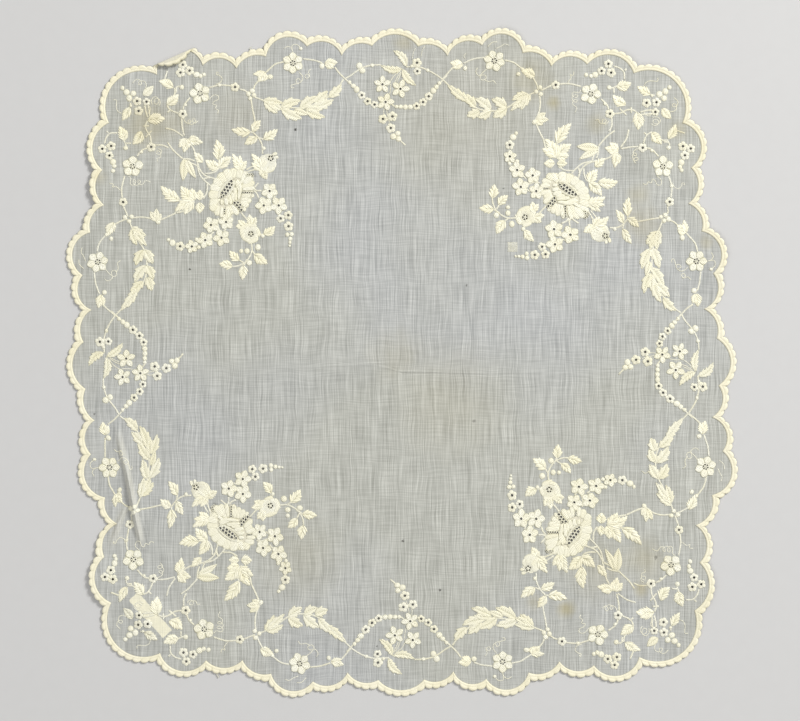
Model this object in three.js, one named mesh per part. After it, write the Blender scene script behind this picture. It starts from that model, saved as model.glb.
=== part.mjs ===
// A whitework handkerchief lying flat, face up: a sheet of fine lawn with a scalloped, buttonhole-stitched edge,
// and a short strip of plain ribbon tacked behind one corner.
// Millimetres, +Z up. The origin is on the surface that it lies on, under the middle of the cloth.
import * as THREE from "three";

// Driving dimensions.
const CLOTH_SPAN = 422; // left to right over the scalloped edge
const CLOTH_THICKNESS = 1;
const EDGE_CROWN = 1.4; // the padded edge's height along the middle of its stitching
const EDGE_WIDTH = 2.9; // the stitched edge, measured at the top of a lobe
const VALLEY_DEPTH = 4.1; // the stitched edge, measured where two lobes meet
const BITE_WIDTH = 5.2; // one small scallop of the edge
const BITE_DEPTH = 0.75;
const STITCH_SPACING = 4.5; // between points along the inner lines of the edge
const MESH_CELL = 16; // the grid inside the edge
const MESH_MARGIN = 3; // from the grid to the stitched edge

// The outline was measured on the photograph, where the cloth spans this many pixels.
const SPAN_PX = 671.5;
const MIDDLE_PX = { px: 402, py: 362.8 };
const MM_PER_PX = CLOTH_SPAN / SPAN_PX;

const table = (columns, rows) => rows.map((row) => Object.fromEntries(columns.map((name, i) => [name, row[i]])));

// Each lobe of the edge starts at (px, py), ends where the next one starts, and rises by so many pixels between.
const LOBES = table(["px", "py", "rise"], [
  // top left corner and the top edge, whose first lobe is cut taller because it is turned over
  [103, 120, 22.4], [154, 69, 19.3], [202.5, 59, 6.8], [235.5, 62, 4.2],
  [264, 50.5, 12.4], [307, 40, 7.2], [341.5, 49, 4.8], [371, 39.5, 9.8],
  [419, 40, 4.2], [447.5, 49.5, 7.2], [481.5, 39, 13], [524.5, 47, 4.2],
  [552.5, 60, 7], [587.5, 58, 12],
  // top right corner and the right edge
  [636.5, 68, 22], [688, 120, 12.4], [697.5, 167.5, 6.7], [694.5, 202.5, 4.4],
  [707.5, 229, 11.6], [719.5, 273.5, 7.2], [710.5, 308.5, 4.2], [723, 337, 11],
  [725, 386, 5.2], [718.5, 417, 7.3], [729, 451, 12.4], [718, 497.5, 5],
  [702, 526.5, 7.2], [706, 562.5, 9.8],
  // bottom right corner and the bottom edge
  [700, 613.5, 22.4], [642, 663, 12.7], [594, 672, 5.8], [560, 668, 4.2],
  [530, 679, 12], [486, 685.5, 6.8], [453.5, 678, 4], [425, 686, 8.6],
  [377.5, 686.5, 4.4], [347.5, 679, 6.6], [313, 688, 11.5], [269, 680, 4],
  [241, 666.5, 5.8], [205.5, 667, 12.4],
  // bottom left corner and the left edge
  [157, 659, 23.6], [105.5, 605.5, 11], [98, 556, 5.7], [111, 524, 3.4],
  [99, 500, 11.6], [84.5, 455, 6.2], [88, 421, 4.2], [79, 390, 10.2],
  [77, 341.5, 5], [85, 310, 7.3], [76, 275.5, 12.2], [84, 230.5, 4],
  [98, 204, 5.9], [96, 170, 11.2],
]);

// The tall lobe is turned over onto the face, and shows this straight fold.
const TURN_FROM = { px: 161.3, py: 61.8 };
const TURN_TO = { px: 188.3, py: 50 };
const TURN_RADIUS = 1.6; // of the outer, wrong side of the cloth round the fold
const TURN_STEPS = 5;

// Soft ridges where the cloth has puckered. Each runs through its stations, and stands up by height there.
const RIDGES = [
  { width: 4.4, stations: table(["px", "py", "height"], [
    [117, 424, 0], [121, 446, 1.4], [127, 470, 2.6], [131.5, 492, 3.3],
    [135, 512, 3.1], [139, 532, 1.7], [143, 551, 0],
  ]) },
  { width: 2.8, stations: table(["px", "py", "height"], [
    [128, 502, 0], [123, 513, 1.4], [118, 525, 1.9], [113, 540, 1.2], [109, 552, 0],
  ]) },
];

// Places where the edge has lifted a little off the surface.
const LIFTS = table(["px", "py", "reach", "height"], [
  [86, 185, 40, 1.6], [732, 250, 38, 1.5], [82, 575, 40, 1.6], [640, 58, 36, 1.5], [503, 24, 36, 1.4], [716, 590, 36, 1.4],
]);

// The strip of ribbon behind the lower left corner. The cloth lies level over it, and comes down past it.
const STRIP = { px: 150.8, py: 614.8, length: 32, width: 7.8, thickness: 1, turn: -47.8 };
const STRIP_CLEARANCE = 0.3;
const STRIP_MARGIN = 1.5;
const STRIP_SLOPE = 8;

const toMm = ({ px, py }) => new THREE.Vector2(px - MIDDLE_PX.px, MIDDLE_PX.py - py).multiplyScalar(MM_PER_PX);
const soft = (t) => THREE.MathUtils.smoothstep(t, 0, 1);
const nextOf = (list, i) => list[(i + 1) % list.length];

// An arc from a to b that rises to the left of the way, as points that start at a, each with its way outward.
function arcBetween(a, b, rise, steps) {
  const half = a.distanceTo(b) / 2;
  const radius = (half * half + rise * rise) / (2 * rise);
  const along = b.clone().sub(a).normalize();
  const outward = new THREE.Vector2(-along.y, along.x);
  const centre = a.clone().add(b).multiplyScalar(0.5).addScaledVector(outward, rise - radius);
  const halfAngle = Math.atan2(half, radius - rise);
  return Array.from({ length: steps }, (_, i) => {
    const angle = halfAngle * ((2 * i) / steps - 1);
    const way = along.clone().multiplyScalar(Math.sin(angle)).addScaledVector(outward, Math.cos(angle));
    return { point: centre.clone().addScaledVector(way, radius), way };
  });
}

const arcLength = (a, b, rise) => a.distanceTo(b) * (1 + (8 / 3) * (rise / a.distanceTo(b)) ** 2);

// The lobes' ends, moved into the cloth by a depth.
function lobeEnds(depth) {
  const ends = LOBES.map(toMm);
  return ends.map((point, i) => {
    const arriving = point.clone().sub(ends[(i + ends.length - 1) % ends.length]).normalize();
    const leaving = nextOf(ends, i).clone().sub(point).normalize();
    const way = arriving.add(leaving).normalize();
    return point.clone().add(new THREE.Vector2(way.y, -way.x).multiplyScalar(depth));
  });
}

// The outline, counter-clockwise: every lobe carries a row of small scallops, each drawn with three points.
function scallopedLine() {
  const ends = lobeEnds(0);
  const bite = [0, 0.85, 0.85];
  return LOBES.flatMap((lobe, i) => {
    const rise = lobe.rise * MM_PER_PX;
    const bites = Math.round(arcLength(ends[i], nextOf(ends, i), rise) / BITE_WIDTH);
    const arc = arcBetween(ends[i], nextOf(ends, i), rise, bites * bite.length);
    return arc.map(({ point, way }, k) => point.addScaledVector(way, BITE_DEPTH * bite[k % bite.length]));
  }).reverse();
}

// A smooth lobed line inside the outline, counter-clockwise: so far in at the lobes' tops and where they meet.
function lobedLine(atTop, atValley) {
  const ends = lobeEnds(atValley);
  return LOBES.flatMap((lobe, i) => {
    const rise = lobe.rise * MM_PER_PX + atValley - atTop;
    const steps = Math.max(3, Math.round(arcLength(ends[i], nextOf(ends, i), rise) / STITCH_SPACING));
    return arcBetween(ends[i], nextOf(ends, i), rise, steps).map(({ point }) => point);
  }).reverse();
}

const isInside = (p, loop) => loop.reduce((odd, a, i) => {
  const b = nextOf(loop, i);
  const crosses = a.y > p.y !== b.y > p.y && p.x < ((b.x - a.x) * (p.y - a.y)) / (b.y - a.y) + a.x;
  return crosses ? !odd : odd;
}, false);

// How far a point is from the segment a to b, and how far along that segment, from 0 to 1, its foot lies.
function nearSegment(p, a, b) {
  const along = b.clone().sub(a);
  const t = THREE.MathUtils.clamp(p.clone().sub(a).dot(along) / along.lengthSq(), 0, 1);
  return { t, distance: p.distanceTo(a.clone().addScaledVector(along, t)) };
}

const distanceToLoop = (p, loop) => Math.min(...loop.map((a, i) => nearSegment(p, a, nextOf(loop, i)).distance));

// A flat mesh of counter-clockwise triangles. Each point keeps the cloth's thickness there as its z.
class Pattern {
  points = [];
  triangles = [];

  add(point, thickness) {
    return this.points.push(new THREE.Vector3(point.x, point.y, thickness)) - 1;
  }

  addLoop(loop, thickness) {
    return loop.map((point) => this.add(point, thickness));
  }

  addTriangle([a, b, c]) {
    const [p, q, r] = [a, b, c].map((n) => this.points[n]);
    const area = (q.x - p.x) * (r.y - p.y) - (r.x - p.x) * (q.y - p.y);
    this.triangles.push(area > 0 ? [a, b, c] : [a, c, b]);
  }

  // Fills the space between an outer loop and an inner one.
  fillBetween(outer, inner) {
    const order = [...outer, ...inner];
    const flat = (list) => list.map((n) => new THREE.Vector2(this.points[n].x, this.points[n].y));
    for (const face of THREE.ShapeUtils.triangulateShape(flat(outer), [flat(inner)])) {
      this.addTriangle(face.map((k) => order[k]));
    }
  }

  // Cuts every triangle edge that the line from a to b crosses, so that the cloth can bend there.
  crease(a, b) {
    const way = b.clone().sub(a);
    const side = this.points.map((p) => (way.x * (p.y - a.y) - way.y * (p.x - a.x)) / way.length());
    const cuts = new Map();
    const cutOf = (m, n) => {
      const key = Math.min(m, n) + " " + Math.max(m, n);
      if (!cuts.has(key)) cuts.set(key, this.cutPoint(m, n, side, a, way));
      return cuts.get(key);
    };
    this.triangles = this.triangles.flatMap((corners) => {
      const cut = corners.map((n, k) => cutOf(n, nextOf(corners, k)));
      const count = cut.filter((n) => n !== null).length;
      if (count === 0) return [corners];
      const first = count === 1 ? cut.findIndex((n) => n !== null) : (cut.indexOf(null) + 1) % 3;
      const [p, q, r] = [0, 1, 2].map((i) => corners[(first + i) % 3]);
      const onPq = cut[first];
      const onQr = cut[(first + 1) % 3];
      return count === 1 ? [[p, onPq, r], [onPq, q, r]] : [[onPq, q, onQr], [p, onPq, onQr], [p, onQr, r]];
    });
  }

  // The point where the edge m to n meets the line, or null where it misses it or an end all but lies on it.
  cutPoint(m, n, side, a, way) {
    const nearest = 0.05;
    if (side[m] * side[n] >= 0 || Math.abs(side[m]) < nearest || Math.abs(side[n]) < nearest) return null;
    const point = this.points[m].clone().lerp(this.points[n], side[m] / (side[m] - side[n]));
    const t = ((point.x - a.x) * way.x + (point.y - a.y) * way.y) / way.lengthSq();
    return t < 0 || t > 1 ? null : this.add(point, point.z);
  }

  // The triangle edges that no second triangle shares.
  openEdges() {
    const open = new Map();
    for (const corners of this.triangles) {
      corners.forEach((from, k) => {
        const to = nextOf(corners, k);
        if (!open.delete(to + " " + from)) open.set(from + " " + to, [from, to]);
      });
    }
    return [...open.values()];
  }
}

// Adds the square cells that fit inside a loop with a margin, and gives the loop of points round them all.
function addCells(pattern, loop) {
  const box = new THREE.Box2().setFromPoints(loop);
  const count = box.getSize(new THREE.Vector2()).divideScalar(MESH_CELL).ceil();
  const start = box.getCenter(new THREE.Vector2()).addScaledVector(count, -MESH_CELL / 2);
  const cornerAt = (i, j) => start.clone().add(new THREE.Vector2(i, j).multiplyScalar(MESH_CELL));
  const fits = (point) => isInside(point, loop) && distanceToLoop(point, loop) > MESH_MARGIN;
  const numbers = new Map();
  for (let i = 0; i <= count.x; i++) {
    for (let j = 0; j <= count.y; j++) {
      if (fits(cornerAt(i, j))) numbers.set(i + " " + j, pattern.add(cornerAt(i, j), CLOTH_THICKNESS));
    }
  }
  for (let i = 0; i < count.x; i++) {
    for (let j = 0; j < count.y; j++) {
      const cell = [[i, j], [i + 1, j], [i + 1, j + 1], [i, j + 1]].map(([x, y]) => numbers.get(x + " " + y));
      if (cell.includes(undefined)) continue;
      pattern.addTriangle([cell[0], cell[1], cell[2]]);
      pattern.addTriangle([cell[0], cell[2], cell[3]]);
    }
  }
  const next = new Map(pattern.openEdges());
  const round = [next.keys().next().value];
  while (next.get(round.at(-1)) !== round[0]) round.push(next.get(round.at(-1)));
  return round;
}

const stripCentre = toMm(STRIP);
const stripTurn = THREE.MathUtils.degToRad(STRIP.turn);

// The corners of the strip's outline, grown by a margin.
function stripCorners(margin) {
  const [x, y] = [STRIP.length / 2 + margin, STRIP.width / 2 + margin];
  const corners = [[-x, -y], [x, -y], [x, y], [-x, y]];
  return corners.map(([u, v]) => new THREE.Vector2(u, v).rotateAround(new THREE.Vector2(), stripTurn).add(stripCentre));
}

const stretchesOf = ({ stations }) => stations.slice(1).map((station, i) => [stations[i], station]);

// How high the cloth's underside lies above the surface at a point of the flat pattern.
function liftAt(p) {
  const ridges = RIDGES.flatMap((ridge) => stretchesOf(ridge).map(([from, to]) => {
    const { t, distance } = nearSegment(p, toMm(from), toMm(to));
    return THREE.MathUtils.lerp(from.height, to.height, t) * soft(1 - distance / ridge.width);
  }));
  const lifts = LIFTS.map((lift) => lift.height * soft(1 - p.distanceTo(toMm(lift)) / lift.reach));
  const local = p.clone().rotateAround(stripCentre, -stripTurn).sub(stripCentre);
  const past = Math.max(Math.abs(local.x) - STRIP.length / 2, Math.abs(local.y) - STRIP.width / 2);
  const overStrip = (STRIP.thickness + STRIP_CLEARANCE) * soft(1 - (past - STRIP_MARGIN) / STRIP_SLOPE);
  return Math.max(...ridges, ...lifts, overStrip);
}

const turnFrom = toMm(TURN_FROM);
const turnAlong = toMm(TURN_TO).sub(turnFrom).normalize();
const turnOutward = new THREE.Vector2(-turnAlong.y, turnAlong.x);
const turnedLobe = LOBES.map(toMm).slice(1, 3);

// How far a point of the flat pattern is past the start of the turn, which is one radius inside the fold.
function pastTurn(p) {
  const local = p.clone().sub(turnFrom);
  const [first, last] = turnedLobe.map((end) => end.clone().sub(turnFrom).dot(turnAlong));
  const inLobe = local.dot(turnAlong) > first && local.dot(turnAlong) < last;
  return inLobe ? Math.max(0, local.dot(turnOutward) + TURN_RADIUS) : 0;
}

// Where a point of the flat pattern lies, at a height above the cloth's underside.
function lay({ x, y }, height) {
  const p = new THREE.Vector2(x, y);
  const past = pastTurn(p);
  if (past === 0) return new THREE.Vector3(x, y, liftAt(p) + height);
  const angle = Math.min(past / TURN_RADIUS, Math.PI);
  const radius = TURN_RADIUS - height;
  const reach = radius * Math.sin(angle) - (past - angle * TURN_RADIUS);
  const foot = p.addScaledVector(turnOutward, reach - past);
  return new THREE.Vector3(foot.x, foot.y, TURN_RADIUS - radius * Math.cos(angle));
}

// The crease lines: across the turned lobe, along each ridge and its two slopes, and round the strip.
function creaseLines() {
  const lines = [];
  for (let k = 0; k <= TURN_STEPS; k++) {
    const shift = turnOutward.clone().multiplyScalar(TURN_RADIUS * ((Math.PI * k) / TURN_STEPS - 1));
    const [first, last] = turnedLobe.map((end) => end.clone().sub(turnFrom).dot(turnAlong));
    const at = (along) => turnFrom.clone().addScaledVector(turnAlong, along).add(shift);
    lines.push([at(first), at(last)]);
  }
  for (const ridge of RIDGES) {
    for (const [from, to] of stretchesOf(ridge).map((pair) => pair.map(toMm))) {
      const across = to.clone().sub(from).normalize().rotateAround(new THREE.Vector2(), Math.PI / 2);
      for (const offset of [-1, -0.5, 0, 0.5, 1]) {
        const shift = across.clone().multiplyScalar(offset * ridge.width);
        lines.push([from.clone().add(shift), to.clone().add(shift)]);
      }
    }
  }
  const [level, middle, foot] = [0, 0.5, 1].map((share) => stripCorners(STRIP_MARGIN + share * STRIP_SLOPE));
  for (const corners of [level, middle, foot]) {
    corners.forEach((corner, i) => lines.push([corner, nextOf(corners, i)]));
  }
  level.forEach((corner, i) => lines.push([corner, foot[i]]));
  return lines;
}

function clothPattern() {
  const pattern = new Pattern();
  const innerEdge = lobedLine(EDGE_WIDTH, VALLEY_DEPTH);
  const cells = addCells(pattern, innerEdge);
  const outline = pattern.addLoop(scallopedLine(), CLOTH_THICKNESS);
  const crown = pattern.addLoop(lobedLine(EDGE_WIDTH / 2, VALLEY_DEPTH / 2), EDGE_CROWN);
  const inner = pattern.addLoop(innerEdge, CLOTH_THICKNESS);
  pattern.fillBetween(outline, crown);
  pattern.fillBetween(crown, inner);
  pattern.fillBetween(inner, cells);
  creaseLines().forEach(([a, b]) => pattern.crease(a, b));
  return pattern;
}

// One closed solid: the pattern laid as underside and as face, and a wall round its outline.
function sheetGeometry(pattern) {
  const positions = [];
  const push = (...corners) => corners.forEach((v) => positions.push(v.x, v.y, v.z));
  const under = pattern.points.map((p) => lay(p, 0));
  const face = pattern.points.map((p) => lay(p, p.z));
  for (const [a, b, c] of pattern.triangles) {
    push(face[a], face[b], face[c]);
    push(under[a], under[c], under[b]);
  }
  for (const [a, b] of pattern.openEdges()) {
    push(under[a], under[b], face[b]);
    push(under[a], face[b], face[a]);
  }
  const geometry = new THREE.BufferGeometry();
  geometry.setAttribute("position", new THREE.Float32BufferAttribute(positions, 3));
  geometry.computeVertexNormals();
  return geometry;
}

function makeCloth() {
  const lawn = new THREE.MeshStandardMaterial({ color: 0xd6d3ca, roughness: 0.9, metalness: 0 });
  const cloth = new THREE.Mesh(sheetGeometry(clothPattern()), lawn);
  cloth.name = "cloth";
  return cloth;
}

function makeStrip() {
  const ribbon = new THREE.MeshStandardMaterial({ color: 0xece5cf, roughness: 0.8, metalness: 0 });
  const strip = new THREE.Mesh(new THREE.BoxGeometry(STRIP.length, STRIP.width, STRIP.thickness), ribbon);
  strip.name = "backing_strip";
  strip.position.set(stripCentre.x, stripCentre.y, STRIP.thickness / 2);
  strip.rotation.z = stripTurn;
  return strip;
}

const handkerchief = new THREE.Group();
handkerchief.add(makeCloth(), makeStrip());
export default handkerchief;
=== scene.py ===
"""A whitework handkerchief of sheer lawn, laid flat and seen from straight above."""
import math
import random

import bmesh
import bpy
import numpy as np
from mathutils.geometry import delaunay_2d_cdt
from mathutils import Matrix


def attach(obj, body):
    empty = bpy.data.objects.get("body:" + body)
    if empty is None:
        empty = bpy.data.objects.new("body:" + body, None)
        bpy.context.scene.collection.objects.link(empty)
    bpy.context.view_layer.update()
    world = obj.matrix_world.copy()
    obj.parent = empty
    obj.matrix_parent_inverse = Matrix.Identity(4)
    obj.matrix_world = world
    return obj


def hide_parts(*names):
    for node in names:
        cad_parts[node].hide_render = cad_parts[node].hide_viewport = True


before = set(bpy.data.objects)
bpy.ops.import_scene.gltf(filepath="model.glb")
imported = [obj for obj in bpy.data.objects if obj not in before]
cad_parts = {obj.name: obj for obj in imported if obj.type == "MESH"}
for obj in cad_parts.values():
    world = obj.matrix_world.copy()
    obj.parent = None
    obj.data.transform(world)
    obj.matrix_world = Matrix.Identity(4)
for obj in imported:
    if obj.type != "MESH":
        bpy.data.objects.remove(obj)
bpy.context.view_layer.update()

# Sizes in millimetres, as in the solids
CLOTH_SPAN = 422
EDGE_WIDTH = 2.9
VALLEY_DEPTH = 4.1
EDGE_CROWN = 1.35
BITE_WIDTH = 5.2
BITE_DEPTH = 1.05
TURN_RADIUS = 1.6
STRIP_LENGTH, STRIP_WIDTH, STRIP_THICKNESS = 32, 7.8, 1
STRIP_CLEARANCE, STRIP_MARGIN, STRIP_SLOPE = 0.3, 1.5, 8

# The photograph is WIDTH by HEIGHT pixels, and the cloth spans SPAN_PX of them round its middle
WIDTH, HEIGHT = 800, 721
SPAN_PX = 671.5
MIDDLE = (402, 362.8)
MM = CLOTH_SPAN / SPAN_PX

# Heights over the surface that the cloth lies on, in millimetres
LAWN_UNDER, LAWN_TOP = 0.42, 0.6
# Stitching starts at its foot, inside the lawn, and its sides go a little further down
STITCH_FOOT, STITCH_SINK, EYELET_SINK = 0.5, 0.1, 0.33
STITCH_BOTTOM = STITCH_FOOT - STITCH_SINK
EYELET_BOTTOM = STITCH_FOOT - EYELET_SINK
# How far the worn lawn rises and falls
RIPPLE_HEIGHT = 0.12

# Spacing of the lawn's points, in millimetres: everywhere, over the ridges, the creases and the turned lobe
WIDE_GRID, RIDGE_GRID, CREASE_GRID, TURN_GRID = 2.9, 0.95, 0.62, 0.5
TURN_REACH = 13

# Stitching in the photograph's pixels: widths and heights of lines, and how much wider leaves and dots
# are sewn
STEM_LINE, TENDRIL_LINE, RIM_LINE, DARN_WIDTH = (1.9, 0.42), (0.95, 0.38), (3, 0.6), 0.45
LEAF_WIDEN, LAUREL_WIDEN, DOT_WIDEN = 1.28, 1.48, 1.14
LEAF_HEIGHTS = (0.42, 0.52)

# Colours, in linear light
THREAD_LIGHT, THREAD_DEEP = (0.93, 0.91, 0.78, 1), (0.87, 0.82, 0.58, 1)
EDGE_LIGHT, EDGE_DEEP = (0.86, 0.815, 0.645, 1), (0.81, 0.755, 0.53, 1)
STAINED_THREAD, STAINED_LAWN = (0.66, 0.58, 0.34, 1), (0.43, 0.375, 0.2, 1)
LAWN_COOL = (0.351, 0.36, 0.356, 1), (0.603, 0.609, 0.589, 1)
LAWN_WARM = (0.356, 0.358, 0.317, 1), (0.607, 0.609, 0.553, 1)
# The doubled colour is the paler double layer of cloth along the ridges, with a painted highlight on their
# crests
LAWN_WORKED, LAWN_DOUBLED_AND_LIT, LAWN_BACKED = (0.78, 0.74, 0.58, 1), (0.67, 0.655, 0.57, 1), (0.9, 0.86, 0.66, 1)
# The hollow colour is painted shade, near black, inside eyelets and lace holes; the dirt colour is real
# specks
DIRT, HOLLOW_SHADE = (0.04, 0.036, 0.03, 1), (0.05, 0.045, 0.035, 1)
RIBBON_DEEP, RIBBON_LIGHT = (0.78, 0.73, 0.56, 1), (0.9, 0.86, 0.7, 1)
FLOOR_DEEP, FLOOR_LIGHT = (0.545, 0.54, 0.53, 1), (0.565, 0.56, 0.55, 1)

# Materials: how far the lawn's threads sway, in metres, and how dark the shade painted at the foot of
# stitching is
THREAD_SWAY = 0.0035
FOOT_SHADE = 0.62
# Threads of the stitching: their spacing in millimetres, and the tone of the shade painted in the grooves
# between them
THREAD_PITCH, THREAD_GROOVE_SHADE = 0.85, 0.8
EDGE_PITCH, EDGE_GROOVE_SHADE = 0.7, 0.92
# The lawn's warp and weft: how many threads to a metre across x and y, the detail, and the share in the
# tone
WEAVE = [
    (900, 20, 1, 0.3), (1400, 36, 0, 0.5), (230, 9, 1, 0.12), (1900, 60, 0, 0.42), (45, 560, 1, 0.09),
    (65, 1300, 0, 0.3), (60, 50, 1, 0.13),
]

# The studio, in metres: the floor's half width, and each lamp's place, size and power
FLOOR_REACH = 6
LAMPS = [("key", (1.9, 1.7, 1.75), 0.8, 94), ("fill", (-1.7, -1.4, 2.6), 2.4, 34)]
SKY_STRENGTH = 0.45
LENS, SENSOR_WIDTH = 85, 36

# Each lobe of the edge starts at (x, y) in the photograph, and rises by so many pixels before the next one
LOBES = [
    (103, 120, 22.4), (154, 69, 19.3), (202.5, 59, 6.8), (235.5, 62, 4.2), (264, 50.5, 12.4),
    (307, 40, 7.2), (341.5, 49, 4.8), (371, 39.5, 9.8), (419, 40, 4.2), (447.5, 49.5, 7.2), (481.5, 39, 13),
    (524.5, 47, 4.2), (552.5, 60, 7), (587.5, 58, 12), (636.5, 68, 22), (688, 120, 12.4),
    (697.5, 167.5, 6.7), (694.5, 202.5, 4.4), (707.5, 229, 11.6), (719.5, 273.5, 7.2), (710.5, 308.5, 4.2),
    (723, 337, 11), (725, 386, 5.2), (718.5, 417, 7.3), (729, 451, 12.4), (718, 497.5, 5),
    (702, 526.5, 7.2), (706, 562.5, 9.8), (700, 613.5, 22.4), (642, 663, 12.7), (594, 672, 5.8),
    (560, 668, 4.2), (530, 679, 12), (486, 685.5, 6.8), (453.5, 678, 4), (425, 686, 8.6),
    (377.5, 686.5, 4.4), (347.5, 679, 6.6), (313, 688, 11.5), (269, 680, 4), (241, 666.5, 5.8),
    (205.5, 667, 12.4), (157, 659, 23.6), (105.5, 605.5, 11), (98, 556, 5.7), (111, 524, 3.4),
    (99, 500, 11.6), (84.5, 455, 6.2), (88, 421, 4.2), (79, 390, 10.2), (77, 341.5, 5), (85, 310, 7.3),
    (76, 275.5, 12.2), (84, 230.5, 4), (98, 204, 5.9), (96, 170, 11.2),
]

# The fold of the lobe that is turned over, and the soft ridges: (x, y, height) stations with a half width
TURN_FROM, TURN_TO = (161.3, 61.8), (188.3, 50)
TURNED_LOBE = 1
RIDGES = [
    (3.0, [
        (117, 424, 0), (121, 446, 1.4), (127, 470, 2.6), (131.5, 492, 3.3), (135, 512, 3.1),
        (139, 532, 1.7), (143, 551, 0),
    ]),
    (2.3, [(128, 502, 0), (123, 513, 1.4), (118, 525, 1.9), (113, 540, 1.2), (109, 552, 0)]),
]
# Places where the edge has lifted a little: (x, y, reach, height)
LIFTS = [
    (86, 185, 40, 1.6), (732, 250, 38, 1.5), (82, 575, 40, 1.6), (640, 58, 36, 1.5), (503, 24, 36, 1.4),
    (716, 590, 36, 1.4),
]
# Fine creases and hollows, drawn the same way, that add to the height: their heights may be below nought
CREASES = [
    (0.95, [
        (270, 368.5, 0), (300, 367.4, 0.18), (332, 366, 0.26), (372, 363.4, 0.3), (392, 363, 0.2),
        (420, 362, 0),
    ]),
    (0.9, [(300, 365.6, 0), (332, 364.4, -0.18), (372, 361.8, -0.2), (392, 361.4, -0.1), (420, 360.6, 0)]),
    (0.95, [
        (374, 365.6, 0), (390, 368.6, 0.2), (400, 371.6, 0.3), (430, 371.8, 0.2), (480, 373, 0.16),
        (530, 372.6, 0.06), (580, 373.4, 0.12), (620, 372, 0.08), (655, 372.4, 0),
    ]),
    (0.9, [
        (378, 364.2, 0), (392, 367.6, -0.12), (402, 373.4, -0.2), (430, 373.6, -0.15), (480, 374.8, -0.1),
        (540, 374.4, 0),
    ]),
    (1.9, [
        (122, 438, 0), (125, 458, -0.25), (128.4, 482, -0.38), (130.6, 505, -0.38), (133.4, 530, -0.25),
        (136, 548, 0),
    ]),
    (1.1, [(143.6, 520, 0), (145.6, 530, 0.6), (149.4, 550, 0)]),
    (0.9, [
        (124, 452, 0), (127.4, 470, 0.35), (131.6, 492, 0.6), (135.4, 510, 0.6), (139, 532, 0.45),
        (142, 548, 0),
    ]),
    (1.0, [(122, 472, 0), (124.6, 494, -0.3), (127, 510, -0.3), (129, 526, 0)]),
    (0.9, [(127, 508, 0), (121.6, 519, 0.5), (116.6, 533, 0.5), (112, 550, 0)]),
    (1.2, [(139.6, 470, 0), (141.6, 500, 0.3), (142.4, 530, 0)]),
    (1.3, [(110, 520, 0), (115, 505, 0.3), (121, 494, 0.3), (126, 486, 0)]),
]
STRIP_MIDDLE, STRIP_TURN = (150.8, 614.8), math.radians(-47.8)

# The embroidery repeats four times, a quarter turn apart round DESIGN_CENTRE. It is charted once, at the
# top left.
DESIGN_CENTRE = (401, 362.5)

# Where the same places of the design lie in the four quarters, because hand work is never even:
# top left, top right, bottom right, bottom left
PLACES = [
    ((292.8, 63.4), (696, 261.4), (502.5, 661.6), (109.6, 467.5)),
    ((97.8, 262.1), (494.2, 61.2), (705.4, 466.8), (299.5, 663.6)),
    ((200, 93.7), (662.5, 166.8), (597.6, 634.2), (133.3, 559.4)),
    ((132.5, 166.7), (590.4, 94.1), (670.9, 564.9), (204.2, 629.1)),
    ((235, 87.3), (669.4, 202), (561.8, 641.2), (130, 524.4)),
    ((182.8, 114.1), (642.4, 147.9), (617.9, 615.2), (153.3, 578.5)),
    ((151.3, 147.2), (609.7, 114), (650.7, 583.6), (185.8, 610.3)),
    ((123.3, 202.3), (555.5, 85.2), (678.8, 529.8), (239.8, 639.4)),
    ((138.7, 111.2), (646.3, 103.1), (663.3, 622.1), (148.1, 623.6)),
    ((137.2, 101.4), (656.2, 102.5), (663.6, 632.4), (138.4, 624.6)),
    ((146.6, 102), (655.1, 112.3), (653.9, 630.6), (139.4, 614.9)),
    ((180.5, 72.8), (682.6, 146.4), (616.6, 657), (113.1, 579)),
    ((109.6, 155.8), (601.3, 71.3), (693.6, 577.3), (193, 654.3)),
    ((250.7, 95.3), (664, 217.6), (547, 632.7), (135, 509.8)),
    ((128.8, 218.8), (538.5, 91.5), (673.9, 513.6), (256.7, 633.9)),
    ((344.7, 78.8), (681.3, 314), (451.2, 646.1), (119, 414.8)),
    ((442.8, 79.4), (688.4, 413.5), (350.8, 647.9), (115.1, 315.3)),
    ((115.1, 315.3), (442.8, 79.4), (688.4, 413.5), (350.8, 647.9)),
    ((382.4, 84.6), (679.4, 351.4), (412.7, 639.8), (122.7, 377.1)),
    ((400.3, 89.1), (675.5, 370.1), (394.8, 635.3), (126.3, 358.7)),
    ((385.5, 102.2), (662, 354.6), (410.2, 621.1), (140.4, 373.3)),
    ((226.7, 189.4), (567.5, 189.8), (573.8, 534.9), (228.4, 532.8)),
    ((270.3, 163.4), (600.1, 235.7), (528.3, 563.5), (200.8, 487.6)),
    ((250.3, 233.8), (525.1, 216.7), (549.6, 489.8), (270.2, 506.3)),
    ((289.8, 244.7), (516.6, 256.4), (510.7, 476.6), (281.2, 467.2)),
    ((168.6, 240), (515.9, 133.6), (633.6, 486.5), (279, 591.1)),
]

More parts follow.
